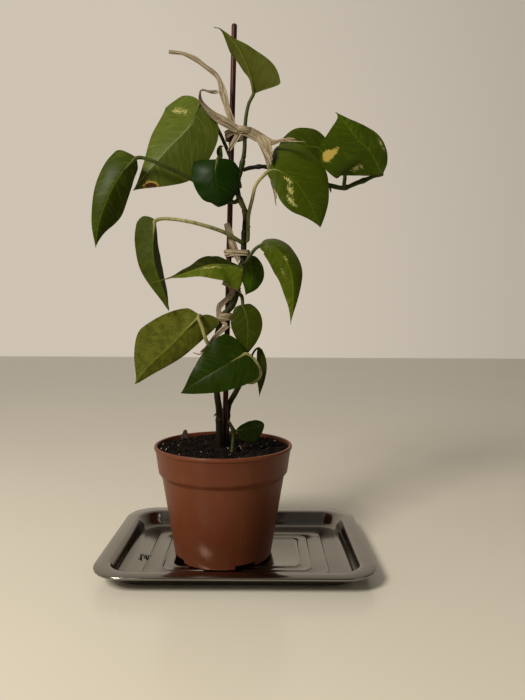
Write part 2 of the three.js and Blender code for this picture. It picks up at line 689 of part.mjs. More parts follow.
// One loop of the tray: a rounded rectangle of the given half sizes, at a height.
function trayLoop(halfLength, halfWidth, corner, z) {
  const arcSteps = 5;
  const loop = [];
  for (const [sx, sy, start] of [[1, 1, 0], [-1, 1, 90], [-1, -1, 180], [1, -1, 270]]) {
    for (let k = 0; k <= arcSteps; k += 1) {
      const angle = radians(start + (90 * k) / arcSteps);
      loop.push(new THREE.Vector3(
        TRAY_CENTRE[0] + sx * (halfLength - corner) + corner * Math.cos(angle),
        TRAY_CENTRE[1] + sy * (halfWidth - corner) + corner * Math.sin(angle),
        z,
      ));
    }
  }
  return loop;
}

// Pressed sheet: flat floor with raised rectangular ribs, sloping wall, flat flange.
function traySolid() {
  const halfLength = TRAY_LENGTH / 2;
  const halfWidth = TRAY_WIDTH / 2;
  const sheet = TRAY_SHEET;
  const top = TRAY_HEIGHT;
  const inset = (d, z) => trayLoop(halfLength - d, halfWidth - d, TRAY_CORNER - d * 0.6, z);
  const outside = [
    inset(21, 0), inset(18.6, 0.5), inset(14.6, 5), inset(12, top - 2.6), inset(10.4, top - sheet),
    inset(1.6, top - sheet), inset(1.3, top - 2), inset(0.4, top - 2.2), inset(0, top - 1),
  ];
  const inside = [
    inset(0.8, top), inset(10, top), inset(12.4, top - 1.4), inset(15.2, 5.4), inset(19, 1.3),
    inset(21.6, sheet),
  ];
  const rings = [...outside, ...inside];
  const corner = 8;
  const slope = 1.5;
  for (const [length, width] of TRAY_RIB_HALF_SIZES) {
    rings.push(trayLoop(length + slope, width + slope, corner + slope, sheet));
    rings.push(trayLoop(length, width, corner, sheet + TRAY_RIB));
    rings.push(trayLoop(length - slope, width - slope, corner - slope, sheet));
  }
  return loft(rings);
}

// ---- assembly --------------------------------------------------------------------------
const plant = new THREE.Group();

function addPiece(name, solid, finish) {
  const mesh = new THREE.Mesh(geometryFromSolid(solid), new THREE.MeshStandardMaterial(finish));
  mesh.name = name;
  plant.add(mesh);
}

const stakeAxis = [STAKE_FOOT, STAKE_TOP];
const stake = (extra) => limb(stakeAxis, [STAKE_RADIUS, STAKE_RADIUS], 12, 2, extra);
const VINE_STEPS = { main_vine: 44, second_vine: 14, right_vine: 20, sprout_stem: 5 };
const vine = (name, extra) => limb(VINES[name].axis, VINES[name].radius, 8, VINE_STEPS[name], extra);

addPiece("tray", traySolid(), STEEL);
addPiece("pot", potSolid(), TERRACOTTA);

const uprights = [stake(GAP), ...Object.keys(VINES).map((name) => vine(name, GAP))];
addPiece("soil", soilSolid().subtract(unite(uprights)), SOIL);
addPiece("stake", stake(0), STAKE);

// The right-hand vine grows out of the main one, and keeps the gap to it.
addPiece("main_vine", vine("main_vine", 0), STEM);
addPiece("second_vine", vine("second_vine", 0), STEM);
addPiece("right_vine", largestPiece(vine("right_vine", 0).subtract(vine("main_vine", GAP))), STEM);
addPiece("sprout_stem", vine("sprout_stem", 0), STEM);

// A scrap of bark stands on the soil at the back left, its foot shaped to the ground.
const ground = soilSolid().translate([0, 0, GAP]);
addPiece("bark_chip", largestPiece(stripSolid(BARK_CHIP).subtract(ground)), BARK);

const stems = unite(uprights);
for (const [name, leaf] of Object.entries(LEAVES)) {
  const whole = bladeSolid(leaf).add(stalkSolid(name, leaf));
  addPiece(name, largestPiece(whole.subtract(stems)), LEAF);
}

const stalks = unite(Object.entries(LEAVES).map(([name, leaf]) => stalkSolid(name, leaf, GAP)));
for (const [name, strips] of Object.entries(RAFFIA_TIES)) {
  const tie = unite([loopSolid(TIE_LOOPS[name]), ...strips.map(stripSolid)]);
  addPiece(name, largestPiece(tie.subtract(stems.add(stalks))), RAFFIA);
}

export default plant;
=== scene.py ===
# %% [markdown]
# # A young pothos on its stake
#
# The plant is a pothos about 40 cm tall. Its vine is tied with raffia to a thin wooden
# stake, it grows in a 12 cm nursery pot, and the pot stands on a shallow steel tray.
# The lesson builds each thing from what it is: pressed sheet, moulded plastic, loose
# soil, stems that follow a path, and leaves that follow one rule with different sizes.

# %% The frame
import math
import bmesh
import bpy
import numpy as np
from mathutils import Matrix, Vector, noise


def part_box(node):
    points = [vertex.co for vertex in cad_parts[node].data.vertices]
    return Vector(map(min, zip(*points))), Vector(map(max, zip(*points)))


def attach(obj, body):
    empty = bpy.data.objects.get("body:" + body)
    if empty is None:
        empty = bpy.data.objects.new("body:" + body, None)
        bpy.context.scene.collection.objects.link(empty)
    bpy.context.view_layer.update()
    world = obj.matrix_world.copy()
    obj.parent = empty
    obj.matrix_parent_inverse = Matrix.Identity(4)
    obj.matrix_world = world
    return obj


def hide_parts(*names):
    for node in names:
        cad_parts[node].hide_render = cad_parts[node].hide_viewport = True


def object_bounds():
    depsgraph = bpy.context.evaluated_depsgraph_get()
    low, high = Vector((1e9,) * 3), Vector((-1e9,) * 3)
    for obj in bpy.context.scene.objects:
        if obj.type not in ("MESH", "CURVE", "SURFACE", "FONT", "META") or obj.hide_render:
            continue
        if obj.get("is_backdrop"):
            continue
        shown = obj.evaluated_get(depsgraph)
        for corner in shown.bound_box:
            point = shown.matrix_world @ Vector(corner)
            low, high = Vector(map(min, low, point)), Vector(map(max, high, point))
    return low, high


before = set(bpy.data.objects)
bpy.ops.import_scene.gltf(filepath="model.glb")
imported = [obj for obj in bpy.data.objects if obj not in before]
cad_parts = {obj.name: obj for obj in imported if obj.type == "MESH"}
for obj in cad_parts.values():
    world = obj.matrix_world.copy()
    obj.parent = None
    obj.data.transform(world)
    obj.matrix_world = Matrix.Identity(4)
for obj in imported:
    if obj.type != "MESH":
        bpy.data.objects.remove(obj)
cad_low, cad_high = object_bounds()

MM = 0.001
cad_sizes = [round((high - low) / MM, 1) for low, high in zip(cad_low, cad_high)]
print("size in mm:", cad_sizes, "nodes:", len(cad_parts))

# %% [markdown]
# ## The camera
#
# A plant looks right or wrong by its outline, so the camera comes first. It stands half
# a metre in front of the pot, a hand's breadth above the pot's rim, and looks a little
# down. Its axes are set directly, because a very small roll is easier to write that way.

# %% The camera
CAMERA_PLACE = Vector((0.03377, -0.50523, 0.20261))
LOOK_DOWN = 0.04494  # radians, as is the roll
ROLL = 0.0048
SENSOR_WIDTH, FOCAL_LENGTH = 36, 29.83


def add_object(name, data):
    """A new object in the scene, for a mesh, a camera or a lamp."""
    made = bpy.data.objects.new(name, data)
    bpy.context.collection.objects.link(made)
    return made


sight = Vector((0, math.cos(LOOK_DOWN), -math.sin(LOOK_DOWN)))
above = Vector((0, math.sin(LOOK_DOWN), math.cos(LOOK_DOWN)))
side = math.cos(ROLL) * Vector((1, 0, 0)) + math.sin(ROLL) * above
top = -math.sin(ROLL) * Vector((1, 0, 0)) + math.cos(ROLL) * above
lens = bpy.data.cameras.new("camera")
lens.sensor_width = SENSOR_WIDTH
lens.lens = FOCAL_LENGTH
camera = add_object("camera", lens)
turn = Matrix((side, top, -sight)).transposed().to_4x4()
camera.matrix_world = Matrix.Translation(CAMERA_PLACE) @ turn
bpy.context.scene.camera = camera
bpy.context.scene.view_settings.view_transform = "Standard"
print("camera", [round(v, 3) for v in CAMERA_PLACE], "lens", FOCAL_LENGTH, "mm")

# %% [markdown]
# ## From numbers to meshes
#
# Most pieces here are either a stack of rings, like a pot, or a thin sheet with an upper
# and a lower side, like a leaf. Numpy holds the points, and a small helper turns points
# and faces into a mesh whose faces look outwards. Every piece is made in its real place
# in metres, so its object stays at the origin.

# %% Meshes from points and faces
def make_object(name, points, faces, material, angle):
    """A smooth piece, with a sharp edge where two faces meet at more than the angle."""
    mesh = bpy.data.meshes.new(name)
    mesh.from_pydata([tuple(p) for p in points], [], [tuple(f) for f in faces])
    clean_normals(mesh)
    mesh.shade_smooth()
    mesh.set_sharp_from_angle(angle=math.radians(angle))
    mesh.materials.append(material)
    return add_object(name, mesh)


def clean_normals(mesh):
    work = bmesh.new()
    work.from_mesh(mesh)
    bmesh.ops.recalc_face_normals(work, faces=work.faces)
    work.to_mesh(mesh)
    work.free()


def keep_numbers(mesh, name, values):
    """One number for each point, which a material can read by its name."""
    attribute = mesh.attributes.new(name, "FLOAT", "POINT")
    attribute.data.foreach_set("value", np.asarray(values, np.float32).ravel())


def ring_faces(ring_count, size):
    """Four-sided faces between each ring of a stack and the next."""
    faces = []
    for i in range(ring_count - 1):
        for j in range(size):
            a, b = i * size + j, i * size + (j + 1) % size
            faces.append((a, b, b + size, a + size))
    return faces


def stack_rings(name, rings, material, angle):
    """A closed solid over rings with equally many points, capped at both ends."""
    size = len(rings[0])
    faces = ring_faces(len(rings), size)
    faces.append(tuple(range(size)))
    faces.append(tuple((len(rings) - 1) * size + j for j in range(size)))
    return make_object(name, np.vstack(rings), faces, material, angle)


def make_real(piece):
    """Leaves what a piece's modifiers make as its plain mesh."""
    bpy.context.view_layer.update()
    ready = piece.evaluated_get(bpy.context.evaluated_depsgraph_get())
    result = bpy.data.meshes.new_from_object(ready)
    piece.modifiers.clear()
    piece.data = result


print("faces between three rings of four points:", len(ring_faces(3, 4)))

# %% [markdown]
# ## Handing a piece over
#
# Each finished piece rides on the part's one body, and most pieces stand for a CAD node.
# Where one piece stands for one node, the helper also prints how far the two boxes are
# apart, so a slip in the numbers shows at once.

# %% Handing a piece over
def settle(piece, slot, *nodes):
    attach(piece, "root")
    if nodes:
        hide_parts(*nodes)
    points = np.empty(len(piece.data.vertices) * 3)
    piece.data.vertices.foreach_get("co", points)
    points = points.reshape(-1, 3)
    text = f"{piece.name}: {len(piece.data.polygons)} faces"
    if len(nodes) == 1:
        low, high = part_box(nodes[0])
        apart = max(np.abs(points.min(0) - low).max(), np.abs(points.max(0) - high).max())
        text += f", box within {apart / MM:.1f} mm of its node"
    print(text)


print("every piece rides on root")

# %% [markdown]
# ## Curves through points
#
# A stem is known by a few points that it passes through. A Catmull-Rom curve joins them
# smoothly, and measuring along it gives evenly spaced places, so that a share of 0.5 is
# really half way up the stem.

# %% Curves through points
CURVE_STEPS = 60  # between two points


def follow(points, shares):
    """Places and directions at shares of a smooth curve's length, and that length."""
    points = np.array(points, float)
    knots = np.vstack([2 * points[0] - points[1], points, 2 * points[-1] - points[-2]])
    s = np.linspace(0, 1, CURVE_STEPS, endpoint=False)[:, None]
    fine = []
    for a, b, c, d in zip(knots, knots[1:], knots[2:], knots[3:]):
        fine.append(
            (2 * s**3 - 3 * s**2 + 1) * b + (s**3 - 2 * s**2 + s) * (c - a) / 2
            + (3 * s**2 - 2 * s**3) * c + (s**3 - s**2) * (d - b) / 2
        )
    fine = np.vstack(fine + [points[-1:]])
    lengths = np.linalg.norm(np.diff(fine, axis=0), axis=1)
    reach = np.concatenate([[0], np.cumsum(lengths)])
    directions = np.gradient(fine, reach, axis=0)
    at = np.asarray(shares) * reach[-1]
    places = np.stack([np.interp(at, reach, fine[:, k]) for k in range(3)], 1)
    ways = np.stack([np.interp(at, reach, directions[:, k]) for k in range(3)], 1)
    ways /= np.linalg.norm(ways, axis=1)[:, None]
    return places, ways, reach[-1]


def length_of(points):
    return follow(points, [0, 1])[2]


def crosswise(vectors, forward):
    """Unit vectors at right angles to the way forward, as near as can be to those given."""
    vectors = vectors - (vectors * forward).sum(-1, keepdims=True) * forward
    return vectors / np.linalg.norm(vectors, axis=-1, keepdims=True)


print("a bend through three points is", round(length_of([[0, 0, 0], [1, 0, 0], [1, 1, 0]]), 3), "long")

# %% [markdown]
# ## A short way to write materials
#
# A finish is a small graph of nodes that ends in one Principled shader. Writing each
# node by hand takes many lines, so this class keeps a material and adds nodes to it:
# a number goes into a socket as it is, and another node's output is linked.

# %% A short way to write materials
class Finish:
    def __init__(self, name, roughness=0.5, metallic=0.0, **constants):
        self.material = bpy.data.materials.new(name)
        self.material.use_nodes = True
        self.tree = self.material.node_tree
        self.tree.nodes.clear()
        self.shader = self.add("ShaderNodeBsdfPrincipled", Roughness=roughness, Metallic=metallic)
        self.set(**constants)
        output = self.add("ShaderNodeOutputMaterial")
        self.tree.links.new(self.shader.outputs[0], output.inputs["Surface"])

    def add(self, kind, **values):
        node = self.tree.nodes.new(kind)
        for name, value in values.items():
            self.feed(node.inputs[name.replace("_", " ")], value)
        return node

    def feed(self, socket, value):
        if isinstance(value, bpy.types.NodeSocket):
            self.tree.links.new(value, socket)
        elif socket.type == "RGBA" and len(value) == 3:
            socket.default_value = (*value, 1)
        else:
            socket.default_value = value

    def set(self, **sockets):
        for name, value in sockets.items():
            self.feed(self.shader.inputs[name.replace("_", " ")], value)

    def place(self, scale=(1, 1, 1)):
        """Object coordinates, in metres, stretched by the scale."""
        source = self.add("ShaderNodeTexCoord").outputs["Object"]
        return self.add("ShaderNodeMapping", Vector=source, Scale=scale).outputs[0]

    def stored(self, name):
        """A number that was kept on the mesh."""
        node = self.add("ShaderNodeAttribute")
        node.attribute_name = name
        return node.outputs["Fac"]

    def math(self, operation, *values):
        node = self.add("ShaderNodeMath")
        node.operation = operation
        for socket, value in zip(node.inputs, values):
            self.feed(socket, value)
        return node.outputs[0]

    def times(self, a, b, plus=0.0):
        return self.math("MULTIPLY_ADD", a, b, plus)

    def cloud(self, vector, scale, detail, roughness=0.5):
        node = self.add("ShaderNodeTexNoise", Vector=vector, Scale=scale, Detail=detail,
                        Roughness=roughness)
        return node.outputs["Fac"]

    def step(self, value, low, high):
        """0 below low, 1 above high, and a soft change between them."""
        node = self.add("ShaderNodeMapRange", From_Min=low, From_Max=high)
        node.interpolation_type = "SMOOTHSTEP"
        self.feed(node.inputs["Value"], value)
        return node.outputs["Result"]

    def blend(self, share, a, b):
        """Colour a where the share is 0, colour b where it is 1."""
        node = self.add("ShaderNodeMix")
        node.data_type = "RGBA"
        colours = [socket for socket in node.inputs if socket.type == "RGBA"]
        self.feed(node.inputs[0], share)
        self.feed(colours[0], a)
        self.feed(colours[1], b)
        return [socket for socket in node.outputs if socket.type == "RGBA"][0]

    def ramp(self, value, *stops):
        """Colours at their positions from 0 to 1, and even changes between them."""
        node = self.add("ShaderNodeValToRGB", Fac=value)
        elements = node.color_ramp.elements
        while len(elements) < len(stops):
            elements.new(1.0)
        for element, (position, colour) in zip(elements, stops):
            element.position = position
            element.color = (*colour, 1)
        return node.outputs["Color"]

    def join(self, x, y=0.0, z=0.0):
        return self.add("ShaderNodeCombineXYZ", X=x, Y=y, Z=z).outputs[0]

    def relief(self, height, distance, strength):
        """Fine bumps, as deep as the distance in metres."""
        node = self.add("ShaderNodeBump", Height=height, Distance=distance, Strength=strength)
        return node.outputs["Normal"]


print("a finish can add:", [name for name in vars(Finish) if not name.startswith("_")])

# %% [markdown]
# ## The steel tray
#
# The tray is one pressed sheet of satin stainless steel. Its rim is flat and about a
# finger's width across, the wall slopes, and shallow ribs are pressed into the floor
# as rounded rectangles, one inside the other. A stack of rounded-rectangle loops gives
# all of this: the same loops run up the outside, over the rim, down and across the floor.

# %% Loops of the tray
SHEET = 0.8
TRAY_TOP = 14.0
TRAY_HALF = np.array([111.0, 83.0])
TRAY_MIDDLE = np.array([13.0, 0.0])
TRAY_CORNER, CORNER_STEPS = 27, 14
TIGHTER = 0.6  # how much smaller the corner gets for each millimetre further in


def rounded_loop(half, corner, height):
    """A rounded rectangle round the tray's middle, in metres."""
    loop = []
    for sx, sy, start in [(1, 1, 0), (-1, 1, 90), (-1, -1, 180), (1, -1, 270)]:
        centre = TRAY_MIDDLE + np.array([sx, sy]) * (np.asarray(half) - corner)
        for k in range(CORNER_STEPS + 1):
            angle = math.radians(start + 90 * k / CORNER_STEPS)
            x, y = centre + corner * np.array([math.cos(angle), math.sin(angle)])
            loop.append((x * MM, y * MM, height * MM))
    return np.array(loop)


def tray_inset(distance, height):
    return rounded_loop(TRAY_HALF - distance, TRAY_CORNER - TIGHTER * distance, height)


print("points in one loop:", len(tray_inset(0, TRAY_TOP)))

# %% Pressing the tray
# Each pair is a distance in from the edge and a height.
OUTSIDE = [(21, 0), (20, 0.1), (18.6, 0.6), (14.6, 5), (12, 11.4), (11.4, 12.6), (10.4, 13.2),
           (1.7, 13.2), (1.4, 12.9), (1.3, 12), (1, 11.8), (0.4, 11.8), (0.1, 12.2), (0, 13)]
INSIDE = [(0.2, 13.6), (0.8, TRAY_TOP), (10, TRAY_TOP), (11.2, 13.7), (12.4, 12.6), (15.2, 5.4),
          (17, 2.6), (19, 1.2), (21.6, SHEET)]
RIBS = [(75.5, 47), (62, 39), (53, 32)]  # half length and half breadth of each
RIB_CORNER, RIB_HALF_WIDTH, RIB_RISE, RIB_STEPS = 8, 1.5, 0.7, 7

rings = [tray_inset(*pair) for pair in OUTSIDE + INSIDE]
for half in RIBS:
    for offset in np.linspace(RIB_HALF_WIDTH, -RIB_HALF_WIDTH, RIB_STEPS):
        rise = RIB_RISE * math.cos(offset / RIB_HALF_WIDTH * math.pi / 2) ** 2
        rings.append(rounded_loop(np.array(half) + offset, RIB_CORNER + offset, SHEET + rise))

steel = Finish("satin_steel", metallic=1.0)
rolled = steel.cloud(steel.place((6, 420, 60)), 3.0, detail=4)
smudge = steel.cloud(steel.place((9, 9, 9)), 2.2, detail=3)
tone = steel.blend(smudge, (0.19, 0.178, 0.158), (0.32, 0.3, 0.27))
haze = steel.times(smudge, 0.1, 0.04)
steel.set(Base_Color=tone, Roughness=steel.times(rolled, 0.09, haze),
          Normal=steel.relief(rolled, 0.00004, 0.6))
settle(stack_rings("steel_tray", rings, steel.material, angle=50), "steel", "tray")
print("rings of the tray:", len(rings))

# %% [markdown]
# ## The nursery pot
#
# A moulded pot is a turned shape: a profile swept once round the axis. The wall is thin,
# the rim is rolled outwards, and below a tall collar a small step leads to the body,
# which narrows to the foot. Four drain notches are cut out of the foot afterwards with
# a Boolean, since they break the turned shape.

# %% Turning the pot
POT_FOOT = 1.8
POT_TOP = 95.8
RIM, BASE, WALL = 60.0, 42.2, 1.5
COLLAR_FOOT = RIM - 3.6
BODY_TOP = COLLAR_FOOT - 3.4
COLLAR = POT_TOP - 22
SHOULDER = COLLAR - 5
TURNS = 160
# Radius and height, from the foot up the outside, over the rim and down the inside.
PROFILE = [
    (0.5, 2), (BASE - 6, 2), (BASE - 5, 1.2), (BASE - 4.4, 0.1), (BASE - 3.6, 0), (BASE - 1, 0),
    (BASE - 0.3, 0.3), (BASE, 1.2), (BODY_TOP, SHOULDER - 1), (BODY_TOP + 0.3, SHOULDER + 0.4),
    (BODY_TOP + 0.9, SHOULDER + 1.2), (COLLAR_FOOT - 1.1, COLLAR - 2), (COLLAR_FOOT - 0.3, COLLAR - 0.9),
    (COLLAR_FOOT, COLLAR + 1), (RIM - 1.2, POT_TOP - 4), (RIM - 0.9, POT_TOP - 3.4),
    (RIM - 0.2, POT_TOP - 2.9), (RIM, POT_TOP - 2.2), (RIM, POT_TOP - 1), (RIM - 0.3, POT_TOP - 0.35),
    (RIM - 0.9, POT_TOP), (RIM - 1.9, POT_TOP), (RIM - 2.5, POT_TOP - 0.4), (RIM - 2.7, POT_TOP - 1.2),
    (RIM - 2.8, POT_TOP - 3.4), (COLLAR_FOOT - WALL, COLLAR + 1.4),
    (COLLAR_FOOT - WALL - 0.8, COLLAR - 0.6), (BODY_TOP - WALL + 0.8, SHOULDER + 1.6),
    (BODY_TOP - WALL, SHOULDER - 0.6), (BASE - WALL, 4.2), (BASE - WALL - 1.2, 3.5), (0.5, 3.5),
]
turns = np.linspace(0, 2 * math.pi, TURNS, endpoint=False)
rings = [np.stack([r * np.cos(turns), r * np.sin(turns), np.full(TURNS, z + POT_FOOT)], 1) * MM
         for r, z in PROFILE]

plastic = Finish("terracotta_plastic", Specular_IOR_Level=0.2)
mottle = plastic.cloud(plastic.place((14, 14, 9)), 3.0, detail=4)
grime = plastic.step(plastic.cloud(plastic.place((60, 60, 26)), 3.0, detail=5), 0.56, 0.78)
tone = plastic.blend(mottle, (0.105, 0.027, 0.009), (0.142, 0.039, 0.014))
tone = plastic.blend(plastic.times(grime, 0.3), tone, (0.19, 0.075, 0.04))
fine = plastic.cloud(plastic.place(), 900, detail=2)
plastic.set(Base_Color=tone, Roughness=plastic.times(mottle, 0.18, 0.3),
            Normal=plastic.relief(fine, 0.00002, 0.5))
pot = stack_rings("nursery_pot", rings, plastic.material, angle=38)
print("rings of the pot:", len(rings))

# %% Cutting the drain notches
NOTCH = np.array([9, 19, 4.4])  # depth, breadth and height
NOTCHES, FIRST_NOTCH = 4, -60  # how many, and where the first is in degrees
NOTCH_OUT, NOTCH_UP = (BASE - 2.5) * MM, (POT_FOOT + 1.2) * MM
for i in range(NOTCHES):
    angle = math.radians(FIRST_NOTCH + 360 / NOTCHES * i)
    bpy.ops.mesh.primitive_cube_add(size=1)
    cutter = bpy.context.object
    cutter.scale = NOTCH * MM
    cutter.location = (NOTCH_OUT * math.cos(angle), NOTCH_OUT * math.sin(angle), NOTCH_UP)
    cutter.rotation_euler.z = angle
    cut = pot.modifiers.new("notch", "BOOLEAN")
    cut.object = cutter
    cut.operation = "DIFFERENCE"
    make_real(pot)
    bpy.data.objects.remove(cutter)
settle(pot, "pot_plastic", "pot")

# %% [markdown]
# ## The soil
#
# Potting soil is nearly black, with lumps of peat, splinters of bark and a few white
# grains of perlite. A dense, uneven surface gives its shape, and loose crumbs on top
# give its edge. Geometry Nodes scatter the crumbs: one small faceted stone is copied to
# seeded random places, turned and scaled at random, and made real at the end.

# %% The body of the soil
SOIL_LEVEL, SOIL_RADIUS = 94.6, 56.6
MOUND, MOUND_SPREAD = 1.2, 500
SOIL_RINGS, SOIL_SIDES = 58, 180
# Radius and height where the soil lies against the pot, from the floor up.
AGAINST_POT = [(20, 5.7), (39, 5.7), (40.2, 7.2), (51, 69.5), (54, 78.5), (56.1, 92)]


def soil_height(x, y):
    mound = MOUND * math.exp(-(x * x + y * y) / MOUND_SPREAD)
    broad = math.sin(0.31 * x + 1.3) * math.cos(0.27 * y)
    small = math.sin(0.53 * y + 0.19 * x)
    lumps = 0.9 * noise.noise((x * 0.16, y * 0.16, 3)) + 0.6 * noise.noise((x * 0.42, y * 0.42, 8))
    return SOIL_LEVEL + mound + 0.6 * (broad + 0.7 * small) + lumps


def round_ring(radius, height=None, count=SOIL_SIDES, centre=(0, 0)):
    """A ring in metres at a height in mm or, where none is given, on top of the soil."""
    ring = []
    for k in range(count):
        x = centre[0] + radius * math.cos(2 * math.pi * k / count)
        y = centre[1] + radius * math.sin(2 * math.pi * k / count)
        ring.append((x * MM, y * MM, (soil_height(x, y) if height is None else height) * MM))
    return ring


rings = [round_ring(*pair) for pair in AGAINST_POT]
rings += [round_ring(SOIL_RADIUS * share) for share in np.linspace(1, 0.01, SOIL_RINGS)]

peat = Finish("potting_soil", Specular_IOR_Level=0.08)
lumps = peat.cloud(peat.place(), 330, detail=6, roughness=0.65)
tone = peat.ramp(lumps, (0.3, (0.0015, 0.001, 0.0006)), (0.54, (0.006, 0.004, 0.0024)),
                 (0.74, (0.028, 0.016, 0.009)))
peat.set(Base_Color=tone, Roughness=0.93, Normal=peat.relief(lumps, 0.0012, 0.9))
settle(stack_rings("soil_body", rings, peat.material, angle=180), "potting_soil", "soil")

# %% Helpers for node trees
def new_tree(name, **inputs):
    """A Geometry Nodes tree with named inputs, and the identifier of each input."""
    tree = bpy.data.node_groups.new(name, "GeometryNodeTree")
    sockets = {}
    for label, kind in inputs.items():
        made = tree.interface.new_socket(label, in_out="INPUT", socket_type="NodeSocket" + kind)
        sockets[label] = made.identifier
    tree.interface.new_socket("Geometry", in_out="OUTPUT", socket_type="NodeSocketGeometry")
    return tree, sockets


def link_all(tree, *links):
    """Each link names a node, its output, the node that it leads to, and the input there."""
    for source, output, target, wanted in links:
        tree.links.new(source.outputs[output], target.inputs[wanted])


def grow_by_nodes(piece, tree, sockets, **inputs):
    """Runs a node tree on a piece, and leaves the result as its plain mesh."""
    modifier = piece.modifiers.new("nodes", "NODES")
    modifier.node_group = tree
    for name, value in inputs.items():
        modifier[sockets[name]] = value
    make_real(piece)


print("node tree helpers ready")

# %% A tree that scatters crumbs
FULL_TURN = 6.28
FLATTEST, ROUNDEST = (0.6, 0.6, 0.45), (1.5, 1.0, 0.8)
FIRST_SEED = 5


def crumb_tree():
    tree, sockets = new_tree("scatter crumbs", Geometry="Geometry", Density="Float", Smallest="Float",
                             Largest="Float", Seed="Int", Finish="Material")
    add = tree.nodes.new
    given = add("NodeGroupInput")
    spread = add("GeometryNodeDistributePointsOnFaces")
    stone = add("GeometryNodeMeshIcoSphere")
    stone.inputs["Subdivisions"].default_value = 1
    stone.inputs["Radius"].default_value = 1.0
    size, spin, squash = (add("FunctionNodeRandomValue") for _ in range(3))
    for number, source in enumerate((size, spin, squash)):
        source.inputs["Seed"].default_value = number + FIRST_SEED
    spin.data_type = "FLOAT_VECTOR"
    spin.inputs["Max"].default_value = (FULL_TURN, FULL_TURN, FULL_TURN)
    squash.data_type = "FLOAT_VECTOR"
    squash.inputs["Min"].default_value = FLATTEST
    squash.inputs["Max"].default_value = ROUNDEST
    scale = add("ShaderNodeVectorMath")
    scale.operation = "SCALE"
    place = add("GeometryNodeInstanceOnPoints")
    real = add("GeometryNodeRealizeInstances")
    paint = add("GeometryNodeSetMaterial")
    result = add("NodeGroupOutput")
    link_all(
        tree,
        (given, "Geometry", spread, "Mesh"), (given, "Density", spread, "Density"),
        (given, "Seed", spread, "Seed"), (given, "Smallest", size, 2), (given, "Largest", size, 3),
        (squash, "Value", scale, 0), (size, 1, scale, "Scale"),
        (spread, "Points", place, "Points"), (stone, "Mesh", place, "Instance"),
        (spin, "Value", place, "Rotation"), (scale, "Vector", place, "Scale"),
        (place, "Instances", real, "Geometry"), (real, "Geometry", paint, "Geometry"),
        (given, "Finish", paint, "Material"), (paint, "Geometry", result, 0),
    )
    return tree, sockets


scatter, scatter_sockets = crumb_tree()
print("crumb tree:", len(scatter.nodes), "nodes")

# %% Crumbs, perlite and spilled soil
GROUND_RINGS, GROUND_SIDES = 14, 40


def ground_patch(radius_in, radius_out, level=None, centre=(0, 0)):
    """A flat or soil-shaped ring of ground to scatter on; it isn't kept itself."""
    rows = []
    for radius in np.linspace(radius_in, radius_out, GROUND_RINGS):
        rows += round_ring(radius, level, GROUND_SIDES, centre)
    mesh = bpy.data.meshes.new("ground")
    mesh.from_pydata(rows, [], ring_faces(GROUND_RINGS, GROUND_SIDES))
    return add_object("ground", mesh)


crumb = Finish("soil_crumb", Specular_IOR_Level=0.1)
tint = crumb.cloud(crumb.place(), 160, detail=4)
tone = crumb.ramp(tint, (0.35, (0.0015, 0.001, 0.0006)), (0.56, (0.007, 0.004, 0.0024)),
                  (0.7, (0.035, 0.019, 0.011)))
crumb.set(Base_Color=tone, Roughness=0.9, Normal=crumb.relief(tint, 0.0006, 0.8))
perlite = Finish("perlite_grain")
speckle = perlite.cloud(perlite.place(), 900, detail=3)
perlite.set(Base_Color=perlite.blend(speckle, (0.4, 0.37, 0.31), (0.72, 0.7, 0.64)),
            Roughness=0.8, Normal=perlite.relief(speckle, 0.0003, 0.7))

# How many lie on a square metre, their smallest and largest radius in metres, and the seed.
CRUMBS = [
    ("soil_crumbs", ground_patch(1, 55.6), crumb, 260000, 0.0004, 0.0016, 3),
    ("soil_lumps", ground_patch(1, 54.6), crumb, 14000, 0.0016, 0.003, 8),
    ("perlite_grains", ground_patch(1, 55), perlite, 9500, 0.0003, 0.0009, 4),
    ("spilled_soil", ground_patch(0.5, 6, 1.4, (-67, -13)), crumb, 160000, 0.0004, 0.0011, 2),
]
for name, ground, finish, density, smallest, largest, seed in CRUMBS:
    grow_by_nodes(ground, scatter, scatter_sockets, Density=float(density), Smallest=smallest,
                  Largest=largest, Seed=seed, Finish=finish.material)
    ground.name = name
    settle(ground, "potting_soil")

# %% [markdown]
# ## A scrap of bark
#
# One splinter of bark stands at the back of the pot. It is a rough wedge: a few rings
# of an uneven outline, each a little smaller, pushed about by noise.

# %% The bark chip
BARK_RINGS, BARK_SIDES = 14, 18
UNEVEN_BARK = 0.22
low, high = (np.array(corner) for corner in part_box("bark_chip"))
middle, half = (low + high) / 2, (high - low) / 2
rings = []
for share in np.linspace(0, 1, BARK_RINGS):
    z = low[2] + share * (high[2] - low[2])
    half_x = half[0] * (1 - 0.72 * share**1.6)
    half_y = half[1] * (0.75 - 0.3 * share)
    ring = []
    for k in range(BARK_SIDES):
        angle = 2 * math.pi * k / BARK_SIDES
        push = 1 + UNEVEN_BARK * noise.noise((3 * math.cos(angle), 3 * math.sin(angle), 5 * share))
        ring.append((middle[0] + half_x * push * math.cos(angle) * 0.85,
                     middle[1] + half_y * push * math.sin(angle), z))
    rings.append(ring)
bark = Finish("bark")
ridges = bark.cloud(bark.place((9, 9, 1.6)), 60, detail=6, roughness=0.7)
tone = bark.ramp(ridges, (0.35, (0.006, 0.004, 0.003)), (0.7, (0.07, 0.035, 0.02)))
bark.set(Base_Color=tone, Roughness=0.9, Normal=bark.relief(ridges, 0.001, 0.9))
settle(stack_rings("bark_splinter", rings, bark.material, angle=180), "bark", "bark_chip")

# %% [markdown]
# ## Things that follow a path
#
# Stake, vines and leaf stalks are all round limbs along a path. One Geometry Nodes tree
# grows them: the path comes in as a line of points, each with its own thickness, a
# circle is swept along it, and the ends are capped. The share of the way along goes
# with each point, so that a finish can change from the old end to the young end.

